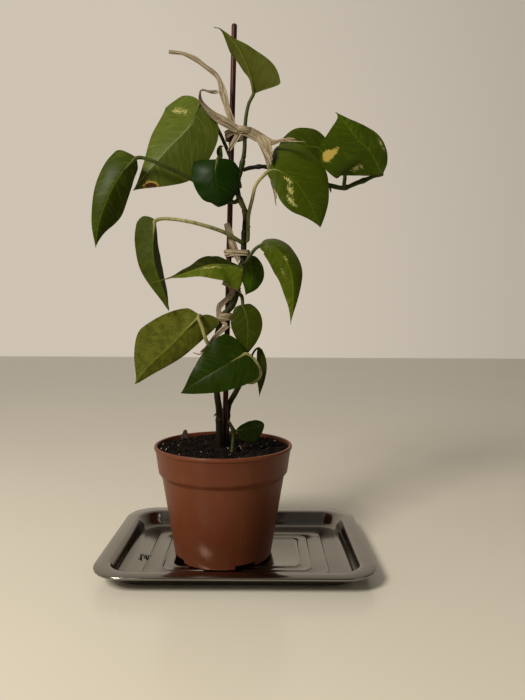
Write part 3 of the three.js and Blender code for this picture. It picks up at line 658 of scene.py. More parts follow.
# %% The tree that grows limbs
def limb_tree():
    tree, sockets = new_tree("grow a limb", Geometry="Geometry", Sides="Int", Finish="Material")
    add = tree.nodes.new
    given = add("NodeGroupInput")
    path = add("GeometryNodeMeshToCurve")
    circle = add("GeometryNodeCurvePrimitiveCircle")
    thickness = add("GeometryNodeInputNamedAttribute")
    thickness.data_type = "FLOAT"
    thickness.inputs["Name"].default_value = "thickness"
    sweep = add("GeometryNodeCurveToMesh")
    sweep.inputs["Fill Caps"].default_value = True
    smooth = add("GeometryNodeSetShadeSmooth")
    real = add("GeometryNodeRealizeInstances")
    paint = add("GeometryNodeSetMaterial")
    result = add("NodeGroupOutput")
    link_all(
        tree,
        (given, "Geometry", path, "Mesh"), (path, "Curve", sweep, "Curve"),
        (given, "Sides", circle, "Resolution"), (circle, "Curve", sweep, "Profile Curve"),
        (thickness, "Attribute", sweep, "Scale"), (sweep, "Mesh", smooth, "Geometry"),
        (smooth, "Geometry", real, "Geometry"), (real, "Geometry", paint, "Geometry"),
        (given, "Finish", paint, "Material"), (paint, "Geometry", result, 0),
    )
    return tree, sockets


limbs, limb_sockets = limb_tree()
print("limb tree:", len(limbs.nodes), "nodes")

# %% Growing one limb
CAP_ANGLE = 50


def grow_limb(name, places, thickness, finish, sides, **numbers):
    """A round limb through places in mm, its radius given at each; both ends are closed."""
    mesh = bpy.data.meshes.new(name)
    count = len(places)
    lines = [(i, i + 1) for i in range(count - 1)]
    mesh.from_pydata([tuple(p) for p in np.array(places) * MM], lines, [])
    keep_numbers(mesh, "thickness", np.array(thickness) * MM)
    keep_numbers(mesh, "along", np.linspace(0, 1, count))
    for key, values in numbers.items():
        keep_numbers(mesh, key, values)
    piece = add_object(name, mesh)
    grow_by_nodes(piece, limbs, limb_sockets, Sides=sides, Finish=finish.material)
    piece.data.set_sharp_from_angle(angle=math.radians(CAP_ANGLE))
    return piece


print("caps are sharp past", CAP_ANGLE, "degrees")

# %% [markdown]
# ## The stake
#
# The stake is a straight dowel, stained a reddish brown. Its grain runs lengthwise, so
# the pattern is stretched along Z, and its top edge is broken with a small chamfer.

# %% The stake
STAKE = np.array([[-0.8, 0, 20], [8.5, 0, 457]])
STAKE_RADIUS, STAKE_END, STAKE_CHAMFER = 2.35, 1.8, 2.15
wood = Finish("stained_dowel", Specular_IOR_Level=0.15)
grain = wood.cloud(wood.place((1, 1, 0.035)), 1500, detail=4, roughness=0.6)
patches = wood.cloud(wood.place((1, 1, 0.3)), 90, detail=3)
tone = wood.ramp(grain, (0.3, (0.012, 0.003, 0.002)), (0.52, (0.04, 0.009, 0.005)),
                 (0.8, (0.1, 0.033, 0.017)))
tone = wood.blend(wood.step(patches, 0.55, 0.8), tone, (0.1, 0.05, 0.03))
wood.set(Base_Color=tone, Roughness=0.42, Normal=wood.relief(grain, 0.0002, 0.6))
shares = np.concatenate([[0, 0.004], np.linspace(0.01, 0.99, 40), [0.9975, 0.999, 1]])
places = STAKE[0] + shares[:, None] * (STAKE[1] - STAKE[0])
radii = np.full(len(shares), STAKE_RADIUS)
radii[[0, -1]] = STAKE_END
radii[-2] = STAKE_CHAMFER
settle(grow_limb("stake_dowel", places, radii, wood, 24), "stake_wood", "stake")

# %% [markdown]
# ## The vines
#
# The main vine leaves the soil beside the stake, crosses in front of it and ends in the
# top leaf. At each place where a leaf has grown there is a node: a slight swelling with
# a darker ring, and often the stub of an air root. The stem is woody brown near the
# soil and turns green further up, so its finish reads the share along the stem.

# %% Stem finishes
BROWN, WARM_BROWN, DARK = (0.007, 0.005, 0.002), (0.01, 0.007, 0.003), (0.007, 0.008, 0.003)
OLIVE, GREEN, FRESH = (0.026, 0.029, 0.005), (0.026, 0.038, 0.005), (0.03, 0.038, 0.006)
PALE, NODE_RING = (0.15, 0.14, 0.045), (0.045, 0.016, 0.008)


def stem_finish(name, *stops):
    """Green to brown skin along a stem, with rings at the nodes and a fine lengthwise grain."""
    skin = Finish(name, Specular_IOR_Level=0.12)
    tone = skin.ramp(skin.stored("along"), *stops)
    blotch = skin.cloud(skin.place((1, 1, 0.4)), 260, detail=4, roughness=0.6)
    tone = skin.blend(skin.times(skin.step(blotch, 0.45, 0.7), 0.5), tone, WARM_BROWN)
    tone = skin.blend(skin.times(skin.stored("ring"), 0.8), tone, NODE_RING)
    skin.set(Base_Color=tone, Roughness=0.45, Normal=skin.relief(blotch, 0.0004, 0.6))
    return skin


STEMS = {
    "main_vine": [(0, BROWN), (0.2, WARM_BROWN), (0.3, OLIVE), (0.55, (0.026, 0.03, 0.006)),
                  (0.66, DARK), (0.8, DARK), (0.83, PALE), (0.865, PALE), (0.89, DARK), (1, GREEN)],
    "second_vine": [(0, BROWN), (0.5, (0.012, 0.01, 0.003)), (0.7, OLIVE), (1, (0.05, 0.055, 0.012))],
    "right_vine": [(0, DARK), (0.32, (0.012, 0.012, 0.004)), (0.6, FRESH), (1, FRESH)],
    "sprout_stem": [(0, (0.06, 0.07, 0.016)), (0.6, (0.05, 0.065, 0.012)), (0.75, (0.012, 0.022, 0.002)),
                    (1, (0.03, 0.03, 0.01))],
}
print("stem finishes:", sorted(STEMS))

# %% Where the vines run, in millimetres
VINES = {
  "main_vine": {
    "axis": [
      [-2.5, -8, 74], [-2.7, -8.5, 90], [-3.1, -8.5, 110], [-3.2, -8.5, 127], [-5, -9, 141],
      [-6.5, -9, 160], [-6.5, -8.5, 180], [-4.5, -8.5, 197], [1, -9.5, 210], [8, -9.5, 219],
      [11.4, -9, 231], [14.2, -7, 247], [16.8, -5, 259], [17.4, -4, 275], [18.4, -4, 297],
      [12.8, -5, 311], [11.4, -5.5, 322], [14.5, -6, 333], [16.8, -7, 343],
    ],
    "radius": [3, 3, 3, 3.1, 2.8, 2.6, 2.4, 2.3, 2.2, 2.6, 3, 2.8, 2.6, 2.4, 2.5, 2.3, 2.3, 2.4, 2],
  },
  "second_vine": {
    "axis": [
      [2.2, 7.5, 76], [2.2, 7.5, 100], [2.8, 6.8, 118], [4, 5.5, 130], [6.6, 3, 136], [11.1, 0, 144],
      [15.5, -2.6, 156], [18.8, -4.5, 172],
    ],
    "radius": [2.4, 2.4, 2.4, 2.4, 2.5, 2.4, 2.2, 2],
  },
  "right_vine": {
    "axis": [
      [16.6, -6, 333.2], [23, -5.5, 335.2], [35.5, -5, 336.2], [52, -2, 332], [72, 0, 326],
      [90.7, 0, 322], [103.4, 2, 320.5], [115, 3, 325], [123.4, 4, 328.3],
    ],
    "radius": [1.7, 1.7, 1.8, 1.8, 1.9, 2, 2, 2, 2.1],
  },
  "sprout_stem": {
    "axis": [
      [7.6, -24, 80], [8.3, -24, 90], [9.3, -24, 103], [10, -23.5, 111], [8.5, -23.5, 116],
      [5.4, -23.5, 122],
    ],
    "radius": [1.3, 1.3, 1.1, 1.3, 2, 0.4],
  },
}
print("vines:", sorted(VINES))

# %% Growing the vines
KNOTS = {
    "main_vine": [0.06, 0.165, 0.3, 0.42, 0.5, 0.585, 0.66, 0.7, 0.765, 0.83, 0.87, 0.93, 0.985],
    "second_vine": [0.45, 0.75, 0.97],
    "right_vine": [0.12, 0.5, 0.82, 0.97],
    "sprout_stem": [0.4, 0.95],
}
PLACE_EVERY = 0.9
SWELLING, SWELLING_LENGTH = 0.42, 2.2
NECK, NECK_AFTER, NECK_LENGTH = 0.2, 3.4, 1.1
RING_AFTER, RING_LENGTH = 1.2, 0.7
UNEVEN_STEM = 0.16


def bump(apart, length):
    return np.exp(-((apart / length) ** 2))


def stem_numbers(axis, radius, knots):
    """Places, radii, and how near each place is to a node of the vine."""
    length = length_of(axis)
    shares = np.linspace(0, 1, int(length / PLACE_EVERY))
    places, _, _ = follow(axis, shares)
    thick = np.interp(shares * (len(radius) - 1), range(len(radius)), radius)
    ring = np.zeros(len(shares))
    for knot in knots:
        apart = (shares - knot) * length
        thick = thick + SWELLING * bump(apart, SWELLING_LENGTH)
        thick = thick - NECK * bump(apart - NECK_AFTER, NECK_LENGTH)
        ring = np.maximum(ring, bump(apart - RING_AFTER, RING_LENGTH))
    uneven = [UNEVEN_STEM * noise.noise((x * 0.2, y * 0.2, z * 0.13)) for x, y, z in places]
    return places, thick + np.array(uneven), ring


for name, vine in VINES.items():
    places, thick, ring = stem_numbers(vine["axis"], vine["radius"], KNOTS[name])
    finish = stem_finish(name.replace("_vine", "_stem"), *STEMS[name])
    settle(grow_limb(name + "_stem", places, thick, finish, 20, ring=ring), "stem", name)

# %% Air roots at some of the nodes
ROOT_POINTS, ROOT_SAG = 9, 0.9
AIR_ROOTS = [  # the foot on the stem, the way that it points, and how far
    ([-3.2, -8.5, 127], (-0.6, -0.75, -0.2), 4.5), ([-3.2, -8.5, 131], (0.8, -0.6, -0.1), 3),
    ([-6.4, -9, 170], (-0.9, -0.4, -0.25), 3.6), ([1, -9.5, 210], (-0.5, -0.7, -0.5), 4),
    ([11.6, -9, 232], (0.75, -0.6, -0.2), 3.5), ([18, -4, 288], (0.9, -0.4, -0.2), 3.8),
    ([17, -4.5, 262], (0.9, -0.3, 0.2), 3), ([12, -5.2, 316], (-0.8, -0.5, -0.3), 3.4),
    ([90.7, 0, 322], (0.2, -0.5, -0.85), 3.6), ([52, -2, 332], (0, -0.5, -0.85), 2.6),
]


def join_pieces(name, pieces):
    """Several pieces as one, their places kept."""
    with bpy.context.temp_override(active_object=pieces[0], selected_editable_objects=pieces):
        bpy.ops.object.join()
    pieces[0].name = name
    return pieces[0]


root_finish = stem_finish("air_root", (0, (0.03, 0.018, 0.008)), (1, (0.08, 0.045, 0.02)))
roots = []
for foot, way, reach in AIR_ROOTS:
    way = np.array(way) / np.linalg.norm(way)
    line = [np.array(foot) + way * reach * share + np.array([0, 0, -ROOT_SAG]) * share**2
            for share in np.linspace(0.2, 1.5, ROOT_POINTS)]
    thick = np.interp(np.linspace(0, 1, ROOT_POINTS), [0, 0.75, 1], [1.0, 0.75, 0.25])
    roots.append(grow_limb("air_root", line, thick, root_finish, 10, ring=np.zeros(ROOT_POINTS)))
settle(join_pieces("air_roots", roots), "stem")

# %% [markdown]
# ## What a leaf is
#
# A pothos leaf is a heart with a drawn-out tip. Its two halves differ, it folds along
# the midrib, and each half bends like a gutter. All of that is a rule with a few sizes,
# so every leaf here is the same rule with its own numbers: the line of the midrib, the
# way the upper side faces, half widths, fold, curl, lobes and the widest place. The
# halves count as negative on the left and positive on the right, seen with the tip up.

# %% The vines' leaves, in millimetres
LEAVES = {
  "leaf_top": {
    "stalk": [
      [17.1, -7.2, 344], [17.9, -8, 352], [18.1, -9, 365], [18.9, -9, 376], [21.1, -9, 387],
    ],
    "rib": [
      [25.2, -9, 395.6], [22.7, -14, 407.8], [13.9, -18, 426.8], [0.4, -20.5, 441.5], [-7.2, -22, 443.5],
    ],
    "face": [[0.1, 1, 0.1], [-0.2, 0.9, -0.1]],
    "half": [23.5, 12], "fold": [8, 69], "curl": [-15, 0],
    "lobe": [-0.02, -0.13], "widest": [0.08, 0.58], "taper": [2.9, 2.5],
  },
  "leaf_upper_left": {
    "stalk": [[13.5, 0, 322], [6, 9, 345], [-6, 8, 372], [-16, 0, 387]],
    "rib": [
      [-19.4, -10, 387.4], [-27, -17, 366.8], [-44.3, -21, 347], [-60.5, -23, 327.6], [-73.5, -22, 311.8],
    ],
    "face": [[-0.1, -1, 0.1], [-0.1, -1, 0]],
    "half": [32, 34], "fold": [-5, -12], "curl": [-10, -15],
    "lobe": [-0.05, 0.14], "widest": [0.5, 0.18], "taper": [1.15, 1.54],
  },
  "leaf_far_left": {
    "stalk": [
      [7, -8, 306], [-10, -20, 314], [-25.6, -28, 320.2], [-39, -32, 326.2],
      [-52.4, -34, 331.6], [-62, -34.5, 334.8],
    ],
    "rib": [
      [-68.1, -35, 334.7], [-78.2, -40, 321.7], [-87.5, -42, 305.2], [-96.6, -41, 281.6],
      [-100.4, -37, 263.1],
    ],
    "face": [[0.2, -0.95, 0], [0.2, -1, -0.1]],
    "half": [17.9, 18.5], "fold": [-25, -15], "curl": [-25, -25],
    "lobe": [-0.02, 0.03], "widest": [0.56, 0.08], "taper": [1.49, 1.06],
  },
  "leaf_centre": {
    "stalk": [[8.5, -9, 314], [3, -16, 322], [-1, -24, 333], [-2, -29, 337]],
    "rib": [
      [-3, -33, 334.3], [-4.9, -36, 323.2], [-2.9, -36.5, 306.7], [-2.1, -34, 299.5], [-2.5, -29, 297.5],
    ],
    "face": [[0, -0.9, 0.35], [0, -0.8, -0.6]],
    "half": [21.3, 20.7], "fold": [-5, -3], "curl": [-35, -25],
    "lobe": [0.15, 0.01], "widest": [0.18, 0.09], "taper": [0.43, 0.47],
  },
  "leaf_left": {
    "stalk": [
      [14.5, -7, 272.5], [3.1, -11, 278.8], [-10.8, -16, 283.3], [-29.3, -21, 287.2], [-46.3, -24, 288.7],
    ],
    "rib": [
      [-54.6, -25, 286.7], [-56, -28, 267.3], [-53.8, -30, 248.4], [-46.1, -30, 226.3], [-42.9, -30, 212.8],
    ],
    "face": [[0.2, 1, 0], [0, 1, 0]],
    "half": [15.8, 13.4], "fold": [5, 80], "curl": [-20, 0],
    "lobe": [0.09, -0.16], "widest": [0.13, 0.42], "taper": [0.89, 1.14],
  },
  "leaf_middle_left": {
    "stalk": [[17.6, -11, 247.5], [18.5, -13.5, 246]],
    "rib": [
      [16.8, -17, 250.1], [1.9, -22, 251.5], [-10.6, -29, 250.3], [-33.5, -37, 241.5], [-54, -45, 234.7],
    ],
    "face": [[0.1, -0.8, 0.7], [-0.1, -0.5, 1]],
    "half": [21.7, 10], "fold": [-5, 8], "curl": [-25, -5],
    "lobe": [0.02, -0.17], "widest": [0.08, 0.26], "taper": [2.67, 2.22],
  },
  "leaf_middle_right": {
    "stalk": [[19, -8.5, 254.5], [22.5, -9, 260], [27, -9.5, 266]],
    "rib": [
      [30.9, -11, 268.7], [38.1, -14, 269.8], [48.8, -16, 262], [57.5, -16, 245.7], [59.4, -15, 222.9],
      [57.4, -14, 202.2],
    ],
    "face": [[0.1, -0.8, 0.6], [0.1, -1, 0]],
    "half": [21, 13.9], "fold": [-20, -25], "curl": [-25, -15],
    "lobe": [0.05, 0.01], "widest": [0.11, 0.38], "taper": [1.67, 1.41],
  },
  "leaf_middle_back": {
    "stalk": [[17.6, 1, 259.5], [19, 5, 262]],
    "rib": [[21.5, 9, 262], [23.5, 11, 250], [22.5, 12, 238], [18.5, 10, 228]],
    "face": [[0.1, -0.9, 0.2], [0, -1, 0]],
    "half": [11.5, 11.5], "fold": [5, 5], "curl": [-15, -15],
    "lobe": [0.02, 0.06], "widest": [0.45, 0.35],
  },
  "leaf_low_left": {
    "stalk": [[-3, -13, 181], [-8, -20, 182.5], [-12.5, -25, 188], [-16, -26, 199], [-19.5, -25, 208]],
    "rib": [
      [-18.4, -20, 209.1], [-28.9, -22, 198.4], [-42.8, -26, 183.5], [-59.8, -31, 167.3],
      [-70.4, -34, 153.3],
    ],
    "face": [[0.1, 1, 0.1], [0, 1, 0.1]],
    "half": [26.8, 16.9], "fold": [5, 15], "curl": [-10, 10],
    "lobe": [0, 0.17], "widest": [0.55, 0.08], "taper": [1.64, 0.74],
  },
  "leaf_low_front": {
    "stalk": [[16, -8.5, 154], [26, -12, 153], [32, -19, 160], [30, -24.5, 168.5], [25, -27, 175]],
    "rib": [
      [20.1, -28, 178], [10.3, -32, 172.8], [-2.2, -35, 165.8], [-18.9, -36, 155.8], [-32.8, -34, 146],
    ],
    "face": [[0, -0.95, 0.3], [0, -1, 0.1]],
    "half": [23, 23.9], "fold": [8, 5], "curl": [-15, -15],
    "lobe": [0.08, 0.04], "widest": [0.12, 0.15], "taper": [0.86, 1.29],
  },
  "leaf_low_right": {
    "stalk": [[15, -12, 227], [16.5, -14.5, 224]],
    "rib": [[17, -16, 218.5], [20.5, -17, 206], [21, -18, 190], [19.5, -18, 175]],
    "face": [[0.1, -0.95, 0.2], [0, -1, 0]],
    "half": [13, 14], "fold": [5, 0], "curl": [-20, -20],
    "lobe": [0.02, 0.04], "widest": [0.35, 0.35],
  },
  "leaf_low_small": {
    "stalk": [[21.6, -4, 168], [25, -5.5, 176], [27.8, -6.5, 180.5]],
    "rib": [[31, -8, 182], [33, -9, 169], [32.5, -9, 154], [31.3, -8, 140.5]],
    "face": [[0.4, -0.9, 0.1], [0.4, -0.9, 0]],
    "half": [4.5, 5.5], "fold": [15, 15], "curl": [5, 5], "lobe": [0, 0], "widest": [0.4, 0.4],
  },
  "leaf_sprout": {
    "stalk": [[10.3, -23.3, 112.9]],
    "rib": [[12, -23, 113.5], [20.3, -20, 114.2], [27.5, -17, 115.2], [35.5, -15, 117.2]],
    "face": [[0, -0.8, 0.55], [0, -0.8, 0.5]],
    "half": [6.5, 12.1], "fold": [5, 0], "curl": [-10, -15],
    "lobe": [-0.09, -0.02], "widest": [0.63, 0.43], "taper": [0.47, 0.74],
  },
  "leaf_right": {
    "stalk": [[20.6, -4.5, 275], [21.2, -8, 293], [24.5, -13, 307], [28, -16, 319]],
    "rib": [
      [37.1, -20, 328.2], [44.9, -26, 328.1], [59.8, -30, 317.3], [71.9, -32, 299], [80, -31, 280.9],
    ],
    "face": [[0.1, -0.95, 0.4], [0.3, -1, 0.1]],
    "half": [38.5, 19.7], "fold": [-3, 0], "curl": [-15, -15],
    "lobe": [0.09, -0.03], "widest": [0.14, 0.54], "taper": [0.88, 1.38],
  },
  "leaf_right_back": {
    "stalk": [[104, 5, 323.5], [105, 9, 334], [101, 10.5, 344], [95, 9.5, 350]],
    "rib": [[89, 8, 354.4], [74, 6, 357], [58.5, 5, 354], [43.8, 5, 344.8]],
    "face": [[0.1, -0.95, 0.2], [0, -1, 0.1]],
    "half": [20, 20], "fold": [-5, -5], "curl": [-15, -15],
    "lobe": [0.04, 0.04], "widest": [0.4, 0.4],
  },
  "leaf_far_right": {
    "stalk": [[126.2, 3.6, 329.5], [130, 3.4, 331]],
    "rib": [
      [135.8, -1, 331.3], [123.9, -8, 347.8], [110.6, -12, 359.4], [103.4, -12, 369], [94.5, -6, 382],
    ],
    "face": [[-0.1, -1, 0.1], [0.1, -1, 0.1]],
    "half": [42.2, 17.5], "fold": [8, -5], "curl": [10, -20],
    "lobe": [-0.14, -0.03], "widest": [0.55, 0.38], "taper": [2.59, 1.16],
  },
  "young_leaf": {
    "stalk": [[8.6, -9.5, 325], [3, -14.5, 333]],
    "rib": [[-1.3, -19, 338.5], [-2.3, -20, 343], [-1.6, -20, 348], [0.6, -19, 349]],
    "face": [[0, -1, 0.2], [0, -1, 0.2]],
    "half": [3.4, 3.4], "fold": [25, 25], "curl": [40, 40], "lobe": [0, 0], "widest": [0.4, 0.4],
  },
}
print("leaves:", len(LEAVES))

# %% [markdown]
# ## From rule to blade
#
# The blade is a grid of rows along the midrib and columns across it. Rows are closer
# together at both ends, where the outline turns quickly, and columns are closer near
# the midrib, where the groove is. Small relief is part of the shape: a groove above the
# midrib and a ridge below it, soft quilting between the side veins, and a slow wave at
# the margin. An upper and a lower grid, half a millimetre apart, close at the margin.

# %% The outline of a half
ROWS, COLUMNS = 72, 24
USUAL_TAPER = (1.15, 1.15)
LEAST_HALF = 0.22


def rounded(values):
    """Rises from 0 to 1 like the first quarter of a sine, and stays there."""
    return np.sin(np.pi / 2 * np.clip(values, 0, 1))


def outline(t, widest, taper):
    """The width's share of its most, for a share t of the way from stalk to tip."""
    rise = (0.3 + 0.7 * rounded(t / widest) ** 0.7) * rounded(t / 0.04) ** 0.5
    fall = np.cos(np.pi / 2 * np.clip((t - widest) / (1 - widest), 0, 1)) ** taper
    return np.where(t < widest, rise, fall)


def by_side(leaf, key, across):
    """A leaf's number for the left half or the right one."""
    left, right = leaf.get(key, USUAL_TAPER)
    return np.where(across < 0, left, right)


print("half way to the tip the width is", round(float(outline(np.array(0.5), 0.3, 1.15)), 2), "of its most")

# %% The middle surface of a blade
CLOSER_COLUMNS = 1.3
FLAT_WIDTH = 1.5  # half width under which the fold eases off
LEAST_CURL = 0.01  # radians, because the rule divides by the curl
VEIN_SPACING = 7.5  # between side veins, along the midrib
VEIN_SLANT, VEIN_BEND, OTHER_SIDE = 0.62, 0.009, 3
QUILT, WAVE = 0.03, 0.55
FULL_SIZE = 20  # half width from which quilting and waves are full


def blade_numbers(leaf):
    """Middle surface of a blade in mm, and what its finish needs to know at each point."""
    t = (0.5 - 0.5 * np.cos(np.pi * np.linspace(0, 1, ROWS)))[:, None]
    u = np.linspace(-1, 1, 2 * COLUMNS + 1)[None, :]
    s = np.sign(u) * np.abs(u) ** CLOSER_COLUMNS
    share = np.abs(s)
    places, forward, length = follow(leaf["rib"], t[:, 0])
    start, end = (np.array(f, float) for f in leaf["face"])
    face = crosswise(start + (end - start) * t, forward)
    right = np.cross(forward, face)

    width = by_side(leaf, "half", s) * outline(t, by_side(leaf, "widest", s), by_side(leaf, "taper", s))
    width = np.maximum(width, LEAST_HALF)
    back = by_side(leaf, "lobe", s) * length * (1 - t) ** 2 * share**1.5 * rounded(t / 0.05) ** 0.5
    flat = np.minimum(1, width / FLAT_WIDTH)
    fold = flat * np.radians(by_side(leaf, "fold", s))
    curl = flat * np.radians(by_side(leaf, "curl", s))
    curl = np.where(np.abs(curl) < LEAST_CURL, LEAST_CURL, curl)
    out = width * (np.sin(fold + curl * share) - np.sin(fold)) / curl
    up = width * (np.cos(fold) - np.cos(fold + curl * share)) / curl

    reach = s * width
    vein = t * length - back - VEIN_SLANT * np.abs(reach) - VEIN_BEND * reach**2
    vein = vein + np.where(s < 0, 0, OTHER_SIDE)
    scale = min(1, max(leaf["half"]) / FULL_SIZE)
    inner = np.clip(np.abs(reach) / 3, 0, 1) * np.clip((1 - share) / 0.12, 0, 1)
    inner = inner * np.clip(t / 0.06, 0, 1) * np.clip((1 - t) / 0.12, 0, 1) * scale
    quilt = -QUILT * np.cos(2 * np.pi * vein / VEIN_SPACING) * inner
    phase = 7 * np.pi * t + 2 * s + leaf["rib"][0][0]
    wave = WAVE * share**2.5 * np.sin(phase) * scale * np.sin(np.pi * t)
    up = up + quilt + wave
    points = (places[:, None] - forward[:, None] * back[..., None]
              + right[:, None] * (np.sign(s) * out)[..., None] + face[:, None] * up[..., None])
    return points, {"along": t + 0 * s, "across": s + 0 * t, "reach": reach, "vein": vein}


print("points in one middle surface:", ROWS * (2 * COLUMNS + 1))

# %% The two sides of a blade
HALF_THICK, THINNER_MARGIN = 0.26, 0.13
GROOVE, GROOVE_WIDTH = 0.25, 0.9
RIDGE, RIDGE_WIDTH = 0.4, 1.0
FULL_RIB = 16  # half width from which groove and ridge are full
BLADE_SHARP = 55
# Colour of each kind of spot, and how ragged its edge is.
SPOT_TONES = {"cream": ((0.36, 0.34, 0.12), 2.6), "straw": ((0.46, 0.34, 0.07), 1.2),
              "scar": ((0.055, 0.02, 0.008), 0.6)}


def sum_of_spots(spots, t, s):
    """Soft ovals on the blade: each has a place, its half sizes, and a strength."""
    total = np.zeros(t.shape)
    for t0, s0, half_t, half_s, strength in spots:
        total += strength * np.exp(-(((t - t0) / half_t) ** 2) - ((s - s0) / half_s) ** 2)
    return total


def both_sides(upper, lower):
    return np.concatenate([upper, lower[:, ::-1]], axis=1)


def blade_piece(name, leaf):
    points, numbers = blade_numbers(leaf)
    along, across, reach = numbers["along"], numbers["across"], numbers["reach"]
    normal = np.cross(np.gradient(points, axis=1), np.gradient(points, axis=0))
    normal /= np.maximum(np.linalg.norm(normal, axis=2), 1e-9)[..., None]
    thin = HALF_THICK - THINNER_MARGIN * np.abs(across) ** 4
    strong = (1 - along) ** 0.6 * min(1, max(leaf["half"]) / FULL_RIB)
    groove = GROOVE * bump(reach, GROOVE_WIDTH) * strong
    ridge = RIDGE * bump(reach, RIDGE_WIDTH) * strong
    upper = points + normal * (thin - groove)[..., None]
    lower = points - normal * (thin + ridge)[..., None]
    both = both_sides(upper, lower)
    size = both.shape[1]
    faces = ring_faces(ROWS, size)
    for first in (0, (ROWS - 1) * size):
        for j in range(size // 2 - 1):
            faces.append((first + j, first + j + 1, first + size - 2 - j, first + size - 1 - j))
    piece = make_object(name, both.reshape(-1, 3) * MM, faces, leaf["finish"].material, BLADE_SHARP)
    for key, values in numbers.items():
        keep_numbers(piece.data, key, both_sides(values, values))
    keep_numbers(piece.data, "under", both_sides(np.zeros(reach.shape), np.ones(reach.shape)))
    for key in SPOT_TONES:
        spots = sum_of_spots(leaf["spots"].get(key, []), along, across)
        keep_numbers(piece.data, key, both_sides(spots, spots))
    return piece


print("points in one blade:", 2 * ROWS * (2 * COLUMNS + 1))

# %% [markdown]
# ## How a leaf looks
#
# The upper side is a waxy green with a soft gloss, and the under side is paler, more
# olive and duller. The marbling of this kind follows the side veins, so its clouds are
# stretched along them: they read the vein number in one direction and the reach from
# the midrib in the other. Veins are thin pale lines. A few leaves have a cream patch or
# a dry brown spot with a yellow edge, and those come from soft ovals kept on the blade.

# %% Marbling and veins
SEED_STEP = 7.3  # far enough apart that no two leaves show the same clouds


def scaled(colour, factor):
    return tuple(v * factor for v in colour)


def marbling(skin, vein, away, side, seed):
    """Broad clouds, small flecks, and the share of the lighter green."""
    start = seed * SEED_STEP
    streaks = skin.join(skin.times(vein, 0.3, start), skin.times(away, 0.07), skin.times(side, 9.0))
    flecks = skin.join(skin.times(vein, 0.5, start), skin.times(away, 0.17), skin.times(side, 5.0))
    broad = skin.cloud(streaks, 1.3, detail=5, roughness=0.62)
    small = skin.cloud(flecks, 2.0, detail=4, roughness=0.7)
    patchy = skin.step(skin.cloud(skin.place(), 75, detail=2), 0.34, 0.62)
    return broad, small, skin.times(skin.step(broad, 0.4, 0.72), skin.times(patchy, 0.65, 0.35))


def veins_and_rib(skin, vein, away, along):
    """The waves from vein to vein, the thin lines of the side veins, and the midrib."""
    waves = skin.math("COSINE", skin.times(vein, 2 * math.pi / VEIN_SPACING))
    lines = skin.times(skin.step(waves, 0.93, 1.0), skin.step(away, 26.0, 3.0))
    rib_half = skin.times(along, -0.75, 1.05)
    return waves, lines, skin.step(away, rib_half, skin.times(rib_half, 0.45))


print("clouds move on by", SEED_STEP, "from leaf to leaf")

# %% A leaf's finish
def leaf_finish(name, look):
    skin = Finish(name, Specular_IOR_Level=look["gloss"])
    reach, along, beneath = skin.stored("reach"), skin.stored("along"), skin.stored("under")
    away = skin.math("ABSOLUTE", reach)
    side = skin.step(reach, -0.1, 0.1)
    vein = skin.times(skin.cloud(skin.place(), 42, detail=2), 5.0, skin.stored("vein"))
    broad, small, marble = marbling(skin, vein, away, side, look["seed"])
    waves, lines, rib = veins_and_rib(skin, vein, away, along)

    # Each half's greens are scaled by its own factor: below one it is painted shade on a half turned away
    # from the lamp, above one it is painted light on a half facing it.
    left, right = (skin.blend(marble, scaled(look["deep"], share), scaled(look["light"], share))
                   for share in look["halves"])
    tone = skin.blend(side, left, right)
    wanted = look["flecks"]
    speck = skin.times(skin.step(small, 0.83 - 0.3 * wanted, 0.93 - 0.3 * wanted),
                       skin.step(broad, 0.5 - 0.25 * wanted, 0.75 - 0.2 * wanted))
    tone = skin.blend(skin.times(speck, 0.85), tone, look["fleck_tone"])
    tone = skin.blend(skin.times(lines, look["veins"]), tone, look["rib_tone"])
    tone = skin.blend(skin.times(rib, look["rib"]), tone, look["rib_tone"])

    mottles = skin.step(skin.cloud(skin.place(), 190, detail=4, roughness=0.6), 0.36, 0.64)
    blotch = skin.times(mottles, 0.55, skin.times(marble, 0.45))
    contrast = look["mottling"]
    backing = skin.blend(blotch, scaled(look["under"], 1 - contrast), scaled(look["under"], 1 + contrast))
    backing = skin.blend(skin.times(lines, 0.08), backing, look["under_rib"])
    backing = skin.blend(skin.times(rib, 0.5), backing, look["under_rib"])

    for key, (colour, rough) in SPOT_TONES.items():
        ragged = skin.math("ADD", skin.stored(key), skin.times(small, rough, -0.5 * rough))
        spot = skin.times(skin.step(ragged, 0.4, 0.62), skin.step(skin.stored(key), 0.05, 0.3))
        tone = skin.blend(spot, tone, colour)
        backing = skin.blend(skin.times(spot, 0.7), backing, colour)

    fine = skin.math("COSINE", skin.times(vein, 6 * math.pi / VEIN_SPACING))
    height = skin.times(waves, -0.25, skin.times(fine, -0.12))
    height = skin.times(skin.cloud(skin.place(), 700, detail=2), 0.25, height)
    shine = skin.times(beneath, 0.2, skin.times(broad, 0.12, look["roughness"]))
    skin.set(Base_Color=skin.blend(beneath, tone, backing), Roughness=shine,
             Normal=skin.relief(height, 0.0001, 0.5))
    return skin


print("kinds of spot:", list(SPOT_TONES))

